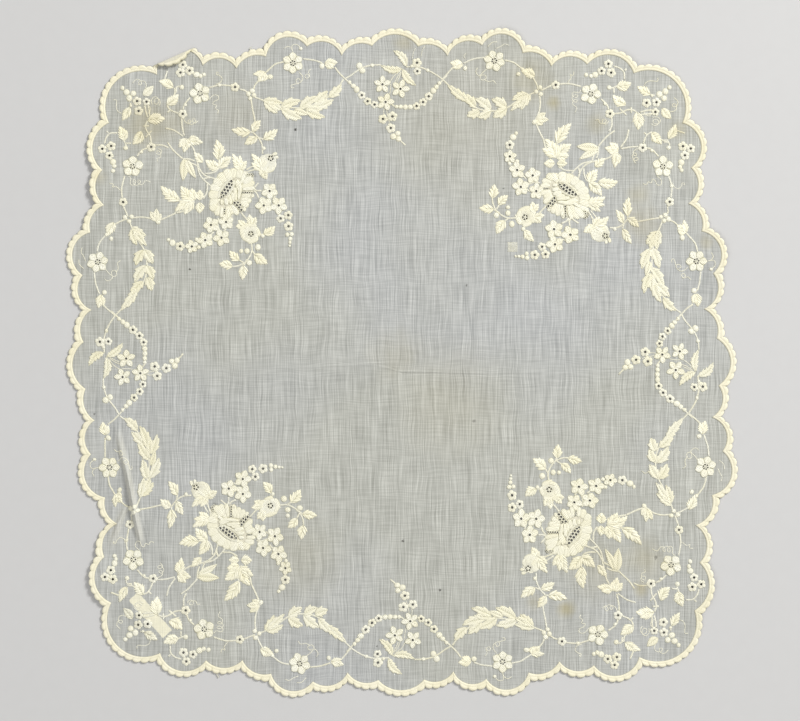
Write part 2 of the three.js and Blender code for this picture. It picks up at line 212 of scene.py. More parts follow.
# The chart, in the photograph's pixels. Flowers of separate satin petals: x, y, radius, petals, petal
# width as a share of the radius, where the petals start as a share of the radius, hole radius, turn of
# the first petal
FLOWERS = [
    (382.4, 84.6, 9, 5, 0.62, 0.17, 1.2, -88), (400.3, 89.1, 9.6, 5, 0.62, 0.17, 1.2, -72),
    (385.5, 102.2, 9, 5, 0.64, 0.17, 1.2, -74), (269.6, 191.2, 8.8, 5, 0.78, 0.17, 1.2, -55),
    (263.8, 205.6, 9.3, 5, 0.76, 0.17, 1.2, -110), (278.7, 205.6, 9.2, 5, 0.74, 0.17, 1.2, -52),
    (211, 225.1, 8.5, 5, 0.78, 0.17, 1.2, -112), (226.1, 222.2, 8.2, 5, 0.76, 0.17, 1.2, -28),
    (221.5, 237.8, 9, 5, 0.74, 0.17, 1.2, -42), (205.3, 240.3, 8.6, 5, 0.76, 0.17, 1.2, -112),
    (191.8, 246.6, 7, 5, 0.74, 0.17, 1.2, -30), (132.5, 166.7, 10.8, 5, 0.8, 0.3, 0, -85),
    (200, 93.7, 10.8, 5, 0.8, 0.3, 0, -105), (292.8, 63.4, 11, 6, 0.7, 0.3, 0, -90),
    (97.8, 262.1, 11, 6, 0.7, 0.3, 0, -75),
]
# Lace centres of small holes in rings: x, y, ring radius, holes, hole radius
LACE_RINGS = [
    (292.8, 63.4, 2.3, 6, 0.85), (97.8, 262.1, 2.3, 6, 0.85), (132.5, 166.7, 2.2, 5, 0.8),
    (200, 93.7, 2.2, 5, 0.8), (270.6, 158.6, 2.7, 5, 1.45), (250.9, 234, 2.7, 5, 1.45),
]
# Round buds: x, y, radius, petals, and the place and radius of the lace eye
BUDS = [
    (267.3, 163.4, 9.7, 7, 270.6, 158.6, 3), (249.6, 233, 10, 8, 250.9, 234, 3),
]
# Small round eyelets: x, y, radius
EYELETS = [
    (235, 87.3, 4.7), (182.8, 114.1, 4.7), (151.3, 147.2, 4.9), (123.3, 202.3, 4.5), (137.2, 101.4, 4.7),
    (146.6, 102, 4.1), (138.7, 111.2, 4.8), (102.5, 149.1, 4.6), (111.3, 146.3, 4.9), (109.6, 155.8, 4.4),
    (182.8, 65, 4.6), (180.5, 72.8, 4.9), (189.6, 70.9, 4.8), (416.8, 63, 5), (417.2, 71.5, 4),
    (361.7, 95.4, 4.1), (367.5, 101.5, 4.1), (374.5, 104.8, 3.9), (416.5, 106.3, 4), (422.9, 102.4, 4.2),
    (428.6, 96.6, 4.4), (382.9, 119.2, 4.9), (392.3, 116.6, 5.2), (390.7, 128.3, 5), (288.2, 215.4, 4.6),
    (280.6, 218.6, 4.4), (288.5, 226.4, 5), (180.1, 246.4, 4.9),
]
# Padded dots: x, y, radius
DOTS = [
    (122.5, 88.2, 2.1), (126.6, 92.4, 3), (133.3, 93.7, 2.8), (129.3, 98.4, 3), (130.8, 106, 1.4),
    (113.3, 162.2, 2.9), (114.5, 166.4, 2), (113.3, 171.2, 2), (196.5, 74.8, 3), (200.6, 76.2, 2),
    (204, 74.8, 1.9), (181.8, 87.4, 2.2), (125.7, 148.2, 2.2), (111.3, 238.8, 2), (106.4, 234.8, 1.7),
    (270.2, 77, 2.5), (158.2, 222.3, 2.1), (321.9, 66.2, 2.6), (300.8, 48.8, 1.6), (104.5, 292.5, 2.3),
    (359.2, 66, 3), (362.3, 70.9, 2.8), (372, 65.5, 1.8), (349.5, 82.4, 1.8), (353.2, 86.1, 2.3),
    (356.6, 89.7, 2.9), (396.4, 106.8, 1.8), (400.5, 107, 2.2), (405.3, 107.3, 2.5), (410.2, 107.2, 2.5),
    (433.2, 90.9, 2.9), (436.2, 87.1, 2.3), (439.2, 83.4, 1.9), (397.7, 133.7, 2.6), (393.2, 136.7, 3),
    (398.4, 139, 2.7), (257.9, 247.4, 2.9), (249.2, 263, 2.7), (247, 251.2, 2.6), (241.2, 251.2, 2),
    (262.7, 236.2, 1.9), (252.2, 91, 2.5), (248.4, 94.2, 2.3), (254, 95.4, 2.2), (250.2, 98.6, 2),
    (125, 217.4, 2.2), (131.6, 216.8, 2.2), (129.2, 221.4, 2.1), (172.4, 243, 3.1), (168.4, 239.8, 1.7),
    (196.6, 239.6, 1.9), (198.8, 247.4, 1.9), (287.2, 234.7, 2), (291.5, 234.3, 2.2), (290.3, 238.9, 2),
    (289.9, 242.6, 1.6), (289.7, 245.8, 1.2), (411.6, 66.4, 1.6), (427.6, 70.4, 1.7), (185.3, 105, 1.6),
    (219.4, 85.3, 1.7), (263.8, 148.5, 1.8), (141.4, 152.1, 1.6), (114.8, 226.9, 1.6),
]
# Satin leaves: base x, y, tip x, y, width, sideways bend, teeth
LEAVES = [
    # the corner and its two sprigs
    (143, 95.5, 153.5, 86, 7, 0.05, 0), (130, 107.5, 122.5, 120.5, 7.5, 0, 3),
    (147.5, 120.5, 165, 119, 10, -0.05, 5), (150, 119, 161, 114.3, 5, 0, 3),
    (141.5, 131.5, 133, 144.5, 9, -0.1, 4), (125, 141, 119.5, 126.5, 8.5, 0.05, 4),
    (123, 140.5, 127, 131, 6, 0, 3), (173.5, 87.8, 159, 81, 8, 0.08, 5),
    (166.8, 105, 178.5, 94.8, 8.5, 0.05, 5),
    # beside the left and the top ovals
    (114, 222.5, 107.5, 236, 8.5, 0.05, 4), (156, 220.5, 150, 211.5, 5.5, 0, 0),
    (156, 220.5, 156.6, 208.5, 5.5, 0, 0), (156, 220.5, 161.5, 214, 5.5, 0, 0),
    (266, 73, 253, 74.5, 5.5, 0, 3), (265.5, 72.5, 258, 82, 8, 0, 3), (266, 74, 263.5, 81.5, 6, 0, 0),
    (324.5, 63.5, 337.5, 62.5, 8, 0, 4), (325, 64.5, 334, 68, 6, 0, 3), (101.5, 294.5, 98.5, 308, 8, 0, 4),
    (100.5, 296, 104, 306, 6, 0, 3),
    # left of the rose
    (180, 200.5, 161, 186.5, 9.5, -0.08, 3), (194, 201, 181, 186.5, 10.5, -0.08, 5),
    (194, 201, 192, 188.5, 8, 0, 3), (194, 201.5, 175, 211.5, 8.5, 0.1, 4),
    (193.5, 202, 184.5, 214.5, 8, 0.06, 4), (199.8, 200.5, 200, 190, 7, 0, 3),
    (199.8, 202.5, 199.5, 213.5, 8.5, 0, 3),
    # above the rose
    (184.8, 158.5, 183, 181, 7.5, 0, 0), (187, 159.5, 196, 178.5, 6, 0.05, 0),
    (203, 162.5, 194, 152.5, 6.5, 0, 2), (186, 138.5, 179, 147.5, 7, 0, 3),
    (187, 138.5, 184, 152.5, 7.5, 0, 3), (189, 138.5, 188.5, 148, 5, 0, 2), (188, 141, 203, 142.5, 7, 0, 4),
    (189, 139, 198.5, 138, 5, 0, 3), (218, 160, 216.5, 140, 9.5, 0.1, 3),
    (220, 168, 205.5, 160.5, 9, -0.08, 4), (219, 168.5, 231, 157, 9.5, -0.05, 4),
    (239.5, 171, 232.5, 154, 7, 0.05, 4), (240, 171, 240, 155.5, 6, 0, 3),
    (240.5, 171, 246.5, 161, 6.5, -0.05, 3),
    # round the first bud
    (250.5, 132, 231.5, 129.6, 7.8, -0.06, 2), (252.5, 132, 260.5, 120.5, 7.5, -0.06, 2),
    (263.5, 139.5, 277.5, 129.5, 8, 0.06, 2), (257.5, 138, 244.5, 144.5, 7.5, 0.06, 2),
    (261.5, 168.5, 251.5, 154, 6.5, 0.05, 3), (261, 170, 251.5, 163, 6, 0, 3),
    (262, 171, 267, 179.5, 6.5, 0, 3), (263, 170, 259.5, 175.5, 5, 0, 2),
    # round the second bud
    (244.5, 226, 235.8, 226.5, 7, 0, 3), (245.5, 226, 238, 220.5, 5.5, 0, 2),
    (250.5, 225, 249.5, 214.5, 6, 0, 3), (252, 225, 256, 217.5, 6, 0, 3),
    (263.5, 234.5, 275, 226.5, 8, 0.1, 3), (254, 254.5, 267.5, 263.8, 9, 0.05, 2),
    (243.2, 265.5, 242.4, 280, 7.8, 0, 2), (232.5, 266.5, 219, 264, 8, 0.06, 2),
    (239, 260.5, 229.5, 251, 7.2, -0.05, 2),
]
# Broad, smooth leaves, in the same terms
LAUREL = [
    # the laurel under the top oval
    (262.5, 100.5, 283, 103.5, 7.5, -0.02, 3), (264, 101.5, 277, 113.5, 8.5, -0.03, 4),
    (267, 102.5, 282.5, 110, 7, 0, 3), (280.5, 107, 300.5, 101, 9, -0.05, 3),
    (281, 108.5, 301.5, 119, 9.5, 0.06, 3), (294, 110, 308.5, 115, 5, 0, 0),
    (299.5, 109, 317, 97, 9.5, -0.05, 3), (305, 109, 323, 109.3, 5.5, 0, 0),
    (305, 110, 325, 117.5, 8, 0.05, 3), (315, 104.5, 328, 91.5, 8.5, -0.05, 3),
    (311.5, 107, 333.5, 100, 9, 0.06, 4), (328.5, 98, 341.5, 84.5, 8.5, 0.05, 3),
    # the laurel beside the left oval
    (131.5, 227, 146, 236, 7.5, 0.04, 3), (132, 228, 136.5, 245, 8, 0.05, 4),
    (133, 229, 146.5, 246, 7, 0, 3), (144, 249.5, 135.5, 265, 9, 0.06, 3),
    (144, 249.5, 152.5, 263.5, 9, -0.05, 3), (146.5, 265, 134.5, 282, 9.5, 0.06, 3),
    (147, 265.5, 153, 279, 8.5, -0.06, 3), (147, 277, 151.5, 290.5, 9, -0.05, 3),
    (144, 281, 130.5, 295, 8.5, 0.05, 3), (137.5, 288, 120.5, 310.5, 8, -0.04, 4),
    # the garland's node
    (402.5, 69.2, 380.8, 65.4, 6.7, -0.12, 5), (407, 67, 393.2, 50.8, 7, 0.14, 5),
    (402, 69, 415.8, 85.6, 6.8, 0.1, 5),
]
# The rose's petals, from the back to the front: base x, y, tip x, y, width, height
ROSE_PETALS = [
    (220, 194, 208.2, 195.4, 11.5, 0.36), (220, 199, 209.6, 202.6, 8, 0.28),
    (220.4, 189.5, 210.2, 186.6, 10.5, 0.3), (222, 185.5, 214, 179.4, 10, 0.36),
    (225, 182.5, 219.6, 172.8, 10.5, 0.3), (229, 179.8, 226.2, 169, 10.5, 0.36),
    (233.5, 178.5, 233.4, 168, 10, 0.3), (238, 178.5, 240.6, 169.4, 9, 0.36),
    (241.5, 180, 246.4, 171.4, 6.8, 0.3), (243, 183.6, 253, 176.6, 8.6, 0.4),
    (241, 187, 254.8, 182.4, 8, 0.32), (242, 189.4, 255.4, 188, 5.4, 0.42),
    (241, 195.8, 254.6, 195.8, 6, 0.42), (240.5, 198.4, 251.6, 201.4, 7.6, 0.34),
    (240.5, 201, 248.6, 206.8, 7, 0.42), (243, 204.4, 245, 211.6, 4.4, 0.34),
    (232, 205, 238, 215.2, 7, 0.42), (229.4, 206, 232.4, 214.6, 6, 0.34),
    (227.4, 207, 228.8, 218.4, 5.8, 0.42), (222, 207.5, 221.4, 218, 5.4, 0.42),
    (218.6, 206, 216.6, 216, 7, 0.34), (216, 204, 210.8, 210.8, 8.6, 0.42),
    (218, 200.6, 209.6, 206, 7.6, 0.34), (236, 201, 234.8, 187, 5, 0.62),
    (240.4, 193, 235.8, 180, 5.5, 0.56), (238.6, 200, 240.6, 185.6, 4.6, 0.62),
    (231, 204.6, 229.6, 195, 6, 0.6), (226.6, 205.4, 226.2, 198.4, 5.4, 0.62),
    (221.8, 205, 222.2, 199.6, 4.6, 0.56), (233.6, 201.6, 232.6, 192, 4.5, 0.56),
    (237, 179.6, 241.4, 189, 4.4, 0.62), (243.6, 179, 238.6, 185, 4.2, 0.6),
]
# The satin rims on both sides of its long lace slot
ROSE_RIMS = [
    [(218.8, 198.6), (219.6, 192.6), (223.6, 186), (228.4, 180.8), (232.6, 178)],
    [(223.6, 200.4), (227.4, 197), (230.6, 191.6), (233.4, 185.8), (234.2, 180.4)],
]
ROSE_OUTLINE = [
    (211, 192), (212.4, 186.4), (217, 181), (220.6, 175), (227, 171.4), (234, 170.4), (241, 171.6),
    (250, 174.4), (252.6, 181), (253.4, 189), (252.6, 195), (249, 201), (246, 207), (241, 211.6),
    (236, 213), (229, 215.6), (222, 215.6), (216, 213.4), (212, 207), (211, 200),
]
# Small petals that fold over the two buds
BUD_PETALS = [
    (261, 171, 265, 156, 8, 0.36), (263.4, 172.4, 275, 167.4, 7, 0.3), (261.6, 168, 267.4, 160.6, 5, 0.44),
    (272.4, 154.6, 277.4, 153.4, 3.8, 0.3), (274.4, 157.4, 278.6, 157.4, 3.6, 0.34),
    (245, 240.6, 241, 228.6, 6.4, 0.34), (241, 229.6, 248, 223.6, 5.4, 0.4),
    (247.4, 224.6, 257, 226.4, 5.6, 0.34), (257, 227.8, 259.4, 236.8, 5, 0.36),
    (248, 243, 258.4, 238, 6.4, 0.36), (244.4, 238.8, 251, 241.6, 5, 0.44),
]
# Rows of lace holes: first x, y, last x, y, holes, hole radius
ROSE_LACE = [
    (222.4, 192.8, 231.4, 181.4, 5, 1.4), (221.6, 197.2, 223.7, 195.8, 2, 1.0),
    (225.8, 193.6, 232.2, 185, 4, 1.33), (247.2, 174.8, 249.4, 175.2, 2, 0.85),
    (251.4, 174.4, 252.6, 176.2, 2, 0.7), (243, 192.4, 252, 193.2, 5, 0.85),
    (251.6, 195.8, 251.7, 195.9, 1, 0.6), (234.8, 203, 241.4, 210, 4, 1.2),
    (238, 202.6, 242.8, 207.4, 3, 1.05), (224.8, 209.6, 224.2, 213.6, 3, 0.75),
    (222.4, 219.2, 222.5, 219.3, 1, 0.6),
]
# Corded stems through these points
STEMS = [
    [(190, 97.8), (184.4, 104.8), (183, 110)], [(172, 111.2), (178.5, 113.4)],
    [(181.6, 118.5), (182.2, 127), (184.2, 136)], [(137, 156.5), (141.6, 150.7), (147, 148.3)],
    [(155.8, 145.2), (163, 145.4), (168.6, 148)], [(124.9, 176), (121.9, 188.4), (122.3, 198.2)],
    [(209.2, 87.8), (219.4, 85.3), (230.6, 85.9)], [(239.5, 89.4), (244.6, 90.6), (249, 94)],
    [(253.4, 90), (255.2, 85), (259.4, 80)],
    [(251, 99), (252.3, 108), (254.2, 117), (255, 124), (253, 131)],
    [(127.5, 219), (121.6, 221), (114, 225)], [(123.6, 206.5), (126.5, 213), (128, 217)],
    [(106, 235), (99.5, 243), (97, 252)],
    [(132, 218), (141, 217.2), (149.3, 218.3), (156, 221), (164, 218.6), (176, 213)],
    [(284, 62), (275.5, 64.2), (269.5, 69.2), (265.5, 73)], [(303, 59), (314, 60.4), (322, 63)],
    [(335, 67.5), (339.5, 73.6), (345, 78.9)], [(94.4, 272.6), (95.7, 283), (99.5, 294)],
    [(103, 305), (108.5, 310), (115.2, 315.6)],
    [
        (254, 97), (262, 100), (272, 104), (283, 106.8), (300, 108), (315, 104.5), (326, 98.5), (336, 90),
        (343.5, 79.5),
    ],
    [
        (129.6, 221), (132, 228), (138, 240), (144.5, 251), (147, 266), (144.5, 280), (136, 292),
        (126, 304), (115.4, 315.6),
    ],
    [(344.7, 78.9), (350.8, 75.6), (357, 71), (363, 67.6), (372, 65.4), (381, 65.1)],
    [(406, 67), (412.6, 66.8), (420, 67.4), (429.5, 71.3), (436, 75), (442.8, 79.6)],
    [(344.5, 78.6), (352, 85)], [(392, 104.5), (394.5, 106.4), (400, 107)],
    [(436, 87.5), (441, 82), (447, 75.5)], [(399, 139), (402, 142.4), (405.4, 145.2)],
    [(167.6, 142.4), (173, 150), (182.5, 158.8)], [(182.5, 158.8), (189, 159.2), (194.5, 161)],
    [(186, 161), (192, 163.6), (197.4, 165.8)], [(165.4, 128.4), (174, 130.4), (183, 136.4)],
    [(190, 143), (194.5, 151), (197, 161), (199.5, 169), (205, 175.5), (214, 178.6), (219, 179.6)],
    [(197.4, 165.8), (200, 175), (205, 181), (211, 186.2)], [(203.5, 179.4), (207, 178), (210, 177.8)],
    [(207.4, 184), (207, 192), (203.4, 199)], [(219.5, 167), (216, 171.4), (210, 173.4), (205, 173.6)],
    [(176, 213), (183, 211.4), (190, 207), (194.5, 202)], [(176, 200.2), (184, 200.6), (194.5, 201.4)],
    [(246, 170), (253, 166), (257, 164)], [(244, 173.4), (252, 170.4), (260, 169)],
    [(252.6, 132), (258.4, 138), (262, 145), (262.6, 154)], [(257.4, 137.4), (263.8, 139.6)],
    [(249, 131.8), (253, 132.6)], [(252.6, 188), (256.5, 190.6), (261.5, 190.8)],
    [(254.5, 187.6), (258.4, 183)], [(254, 190.4), (257, 194), (258.6, 198.4)],
    [(241, 212.4), (244, 216.4), (247.4, 220)], [(258.6, 234.6), (264, 234.6)],
    [(251.4, 243), (252, 250), (250, 256), (245, 262.6), (238, 266), (232, 266.6)],
    [(252.4, 251), (255, 255)], [(247, 259.4), (243.4, 266)], [(244, 263), (239, 260)],
    [(218.6, 218), (217.6, 224), (219.6, 231)], [(226, 229), (223.4, 232)], [(213.8, 232), (210.6, 235)],
    [(275, 196), (274, 199)], [(148.2, 105.5), (149.2, 111), (149.8, 117)],
    [(144.8, 105.6), (146, 112), (147.6, 117.6)],
    [(147.5, 121), (145.6, 125.4), (146.4, 130.4), (150.2, 136.4), (151.2, 143)],
    [(143, 126.4), (149, 126)], [(151.6, 130.8), (148.4, 134.6), (145.6, 137.6)],
    [(174.6, 88), (174.8, 93.4), (172.6, 98)], [(176.4, 88), (176.6, 93)],
    [(175, 89), (178.4, 86.4), (182, 87)], [(164, 81.8), (165.6, 77), (167.4, 71)],
    [(167, 105), (169, 109), (172.4, 111.2)], [(167.6, 112.8), (170, 110)],
    [(123.6, 140), (125.8, 144.8), (125.8, 149)], [(125.8, 143.4), (131, 143.4)],
    [(117, 133), (110, 133.6), (106, 138.6), (104.8, 144)], [(108.6, 133), (106.4, 131.2)],
    [(130.4, 103), (131, 107.6)],
]
# Fine tendrils through these points
TENDRILS = [
    [
        (132.6, 83.4), (136.4, 79.6), (140.4, 80.6), (141.6, 84.6), (138.8, 84.8), (139.6, 81.4),
        (144.6, 81.6), (146.4, 85.4), (145.4, 88.6),
    ],
    [
        (152, 105), (151.6, 100), (155.2, 96.8), (158.6, 99.4), (157.6, 104), (154.4, 103.6), (154.8, 99.6),
        (158.4, 98.8), (160.4, 102.6), (158.6, 106.4),
    ],
    [(113, 100), (116.6, 100.4), (116.4, 107.6), (118.4, 112), (121.4, 113.2)],
    [(82.3, 247.6), (81.2, 252), (83.6, 256), (85.6, 261)], [(78.8, 259.4), (79.6, 264.6), (84, 268.8)],
    [
        (105, 268), (108.6, 273), (113.4, 276.8), (116.8, 274.6), (115, 270.4), (111.6, 272), (112.4, 278),
        (108, 281), (104.6, 279),
    ],
    [(120.6, 260.6), (117.4, 263.4), (118.4, 268), (116, 273)],
    [(284, 48.6), (288, 46.6), (291.6, 48.8), (292.8, 53)],
    [(292.6, 52), (292, 46), (295, 44.6), (298, 45.4), (300.6, 48.6)],
    [(299, 72), (302.6, 77), (301.4, 81.6), (297.4, 83.6), (296, 80.6), (298.6, 78.6), (300.4, 81.6)],
    [(299, 83.4), (294.6, 84.4), (291, 85.6), (291.6, 88), (294.4, 87.6)],
    [(311, 69), (308.4, 72), (309.6, 76), (306.6, 78.6), (305, 76), (307.6, 74.4), (310, 77.6)],
    [
        (128.4, 176.4), (131, 178.4), (130.4, 184), (133.6, 185.4), (136, 181.6), (133.8, 179.4),
        (133.4, 183.4), (137, 185.6), (140.6, 182), (138.4, 180), (138.4, 184), (142.6, 184.6),
        (145.6, 180.6), (150.6, 182.4),
    ],
    [(109.6, 183.6), (113.6, 184.4), (112.6, 187.6), (116, 186.6), (120.6, 190.4)],
    [
        (158.4, 148.6), (161.4, 150.6), (160.6, 154.4), (157, 154.2), (157.4, 150.8), (160.6, 152.6),
        (160.4, 157.6), (157.2, 158.6), (157.8, 162),
    ],
    [
        (183.4, 117.6), (185, 121.6), (188.4, 123.8), (191, 121.6), (189.4, 119.8), (188, 122.4),
        (191.6, 124.6), (195.6, 121.6), (194, 118.4), (192.4, 120.4), (194.6, 123.6), (198.2, 121),
    ],
    [
        (209, 100), (213.4, 95.4), (218.2, 96), (218.2, 99.6), (214, 101.6), (213, 104.4), (216.6, 105.4),
        (215.4, 108.6), (218.4, 110.6), (217.4, 114),
    ],
    [(218.6, 73.2), (216.8, 72.2), (216.6, 74.8), (219, 75.4), (222, 78.2), (220.6, 82.4), (216, 84.4)],
    [(219, 183.4), (221.4, 179.6), (225.6, 176.6)], [(214.6, 197.6), (216.4, 191), (218.6, 186.4)],
    [(400, 71.5), (394, 76), (390, 82)], [(401, 72), (397, 77.5), (394.5, 84)],
    [(402, 72), (399, 77.5), (397, 82)], [(390.6, 84), (390.4, 90), (389.6, 95)],
    [(384.5, 108), (383.6, 112), (384.5, 117)], [(386.5, 108.5), (387.5, 116), (389.5, 123)],
    [(147, 105), (150.6, 108), (149.4, 112.4), (147, 113.6)],
]


def soft(t):
    t = np.clip(t, 0, 1)
    return t * t * (3 - 2 * t)


def to_mm(points):
    points = np.asarray(points, float)
    return np.stack([(points[..., 0] - MIDDLE[0]) * MM, (MIDDLE[1] - points[..., 1]) * MM], -1)


def left_of(way):
    return np.array([-way[1], way[0]])


# Laying the cloth


def near_segment(points, a, b):
    along = b - a
    t = np.clip((points - a) @ along / (along @ along), 0, 1)
    return t, np.linalg.norm(points - a - t[:, None] * along, axis=1)


def stretches(points, stations):
    """For each stretch between two stations: the height set there, and how far away each point is."""
    for from_, to in zip(stations, stations[1:]):
        share, distance = near_segment(points, to_mm(from_[:2]), to_mm(to[:2]))
        yield from_[2] + share * (to[2] - from_[2]), distance


def ripple(points):
    """The small unevenness of worn, washed lawn, from -1 to 1."""
    waves = random.Random(4)
    total = np.zeros(len(points))
    for _ in range(9):
        length, angle, start = waves.uniform(11, 55), waves.uniform(0, math.pi), waves.uniform(0, math.tau)
        total += np.sin(points @ np.array([math.cos(angle), math.sin(angle)]) * math.tau / length + start)
    return total / 9


def lift(points):
    """How high the cloth's underside lies above the surface."""
    heights = [np.zeros(len(points))]
    for width, stations in RIDGES:
        for rise, distance in stretches(points, stations):
            heights.append(rise * soft(1 - distance / width))
    for x, y, reach, height in LIFTS:
        heights.append(height * soft(1 - np.linalg.norm(points - to_mm((x, y)), axis=1) / reach))
    along = np.array([math.cos(STRIP_TURN), math.sin(STRIP_TURN)])
    across = left_of(along)
    local = points - to_mm(STRIP_MIDDLE)
    past = np.maximum(abs(local @ along) - STRIP_LENGTH / 2, abs(local @ across) - STRIP_WIDTH / 2)
    heights.append((STRIP_THICKNESS + STRIP_CLEARANCE) * soft(1 - (past - STRIP_MARGIN) / STRIP_SLOPE))
    height = np.max(heights, axis=0)
    for width, stations in CREASES:
        added = np.zeros(len(points))
        for rise, distance in stretches(points, stations):
            here = rise * soft(1 - distance / width)
            added = np.where(abs(here) > abs(added), here, added)
        height = height + added
    return height


def lay(points, heights):
    """Flat points in millimetres, at heights over the cloth's underside, as places in metres."""
    start = to_mm(TURN_FROM)
    along = to_mm(TURN_TO) - start
    along /= np.linalg.norm(along)
    outward = left_of(along)
    first, last = [(to_mm(LOBES[TURNED_LOBE + k][:2]) - start) @ along for k in (0, 1)]
    local = points - start
    inside = (local @ along > first) & (local @ along < last)
    past = np.where(inside, np.maximum(0, local @ outward + TURN_RADIUS), 0)
    angle = np.minimum(past / TURN_RADIUS, math.pi)
    radius = TURN_RADIUS - heights
    reach = radius * np.sin(angle) - (past - angle * TURN_RADIUS)
    turned = past > 0
    flat = np.where(turned[:, None], points + outward * (reach - past)[:, None], points)
    lying = lift(points) + heights + RIPPLE_HEIGHT * ripple(points)
    z = np.where(turned, TURN_RADIUS - radius * np.cos(angle), lying)
    return np.column_stack([flat, z]) / 1000


# The outline


def arc_between(a, b, rise, shares):
    """Points of an arc from a to b that rises to the left of the way, with the way outward at each."""
    half = np.linalg.norm(b - a) / 2
    radius = (half * half + rise * rise) / (2 * rise)
    along = (b - a) / (2 * half)
    outward = left_of(along)
    centre = (a + b) / 2 + outward * (rise - radius)
    angle = math.atan2(half, radius - rise) * (2 * shares - 1)
    ways = np.sin(angle)[:, None] * along + np.cos(angle)[:, None] * outward
    return centre + radius * ways, ways


def lobe_ends(depth):
    ends = to_mm([lobe[:2] for lobe in LOBES])
    leaving = np.roll(ends, -1, axis=0) - ends
    leaving /= np.linalg.norm(leaving, axis=1)[:, None]
    ways = leaving + np.roll(leaving, 1, axis=0)
    ways /= np.linalg.norm(ways, axis=1)[:, None]
    return ends + depth * np.column_stack([ways[:, 1], -ways[:, 0]])


def edge_sections(steps_in_bite):
    """Each step along the edge: its outer and inner points, and how far through its small scallop it is."""
    outer_ends, inner_ends = lobe_ends(0), lobe_ends(VALLEY_DEPTH)
    outer, inner, through = [], [], []
    for i, (_, _, rise) in enumerate(LOBES):
        j = (i + 1) % len(LOBES)
        high = rise * MM
        chord = np.linalg.norm(outer_ends[j] - outer_ends[i])
        bites = round(chord * (1 + 8 / 3 * (high / chord) ** 2) / BITE_WIDTH)
        shares = np.arange(bites * steps_in_bite) / (bites * steps_in_bite)
        in_bite = (shares * bites) % 1
        points, ways = arc_between(outer_ends[i], outer_ends[j], high, shares)
        bulge = BITE_DEPTH * np.sin(math.pi * in_bite) ** 0.6
        outer.append(points + ways * bulge[:, None])
        inner.append(arc_between(inner_ends[i], inner_ends[j], high + VALLEY_DEPTH - EDGE_WIDTH, shares)[0])
        through.append(in_bite)
    return np.concatenate(outer), np.concatenate(inner), np.concatenate(through)


# Meshes


def new_object(name, data):
    thing = bpy.data.objects.new(name, data)
    bpy.context.scene.collection.objects.link(thing)
    return thing


def make_object(name, vertices, faces, layers, material, smooth=True):
    mesh = bpy.data.meshes.new(name)
    mesh.from_pydata([tuple(v) for v in vertices], [], faces)
    for layer, values in layers.items():
        attribute = mesh.attributes.new(layer, "FLOAT", "POINT")
        attribute.data.foreach_set("value", np.asarray(values, np.float32))
    shape = bmesh.new()
    shape.from_mesh(mesh)
    bmesh.ops.recalc_face_normals(shape, faces=shape.faces)
    shape.to_mesh(mesh)
    shape.free()
    mesh.polygons.foreach_set("use_smooth", [smooth] * len(mesh.polygons))
    mesh.materials.append(material)
    return new_object(name, mesh)


def grid_faces(number, ring=False, tube=True):
    """Quads of a grid of numbered points. A ring's last row meets its first, a tube's last column too."""
    rows, columns = number.shape
    faces = []
    for i in range(rows if ring else rows - 1):
        here, there = number[i], number[(i + 1) % rows]
        for j in range(columns if tube else columns - 1):
            k = (j + 1) % columns
            faces.append((here[j], here[k], there[k], there[j]))
    return faces


def inside_loop(points, loop):
    odd = np.zeros(len(points), bool)
    for a, b in zip(loop, np.roll(loop, -1, axis=0)):
        if a[1] != b[1]:
            crossing = (b[0] - a[0]) * (points[:, 1] - a[1]) / (b[1] - a[1]) + a[0]
            odd ^= ((a[1] > points[:, 1]) != (b[1] > points[:, 1])) & (points[:, 0] < crossing)
    return odd


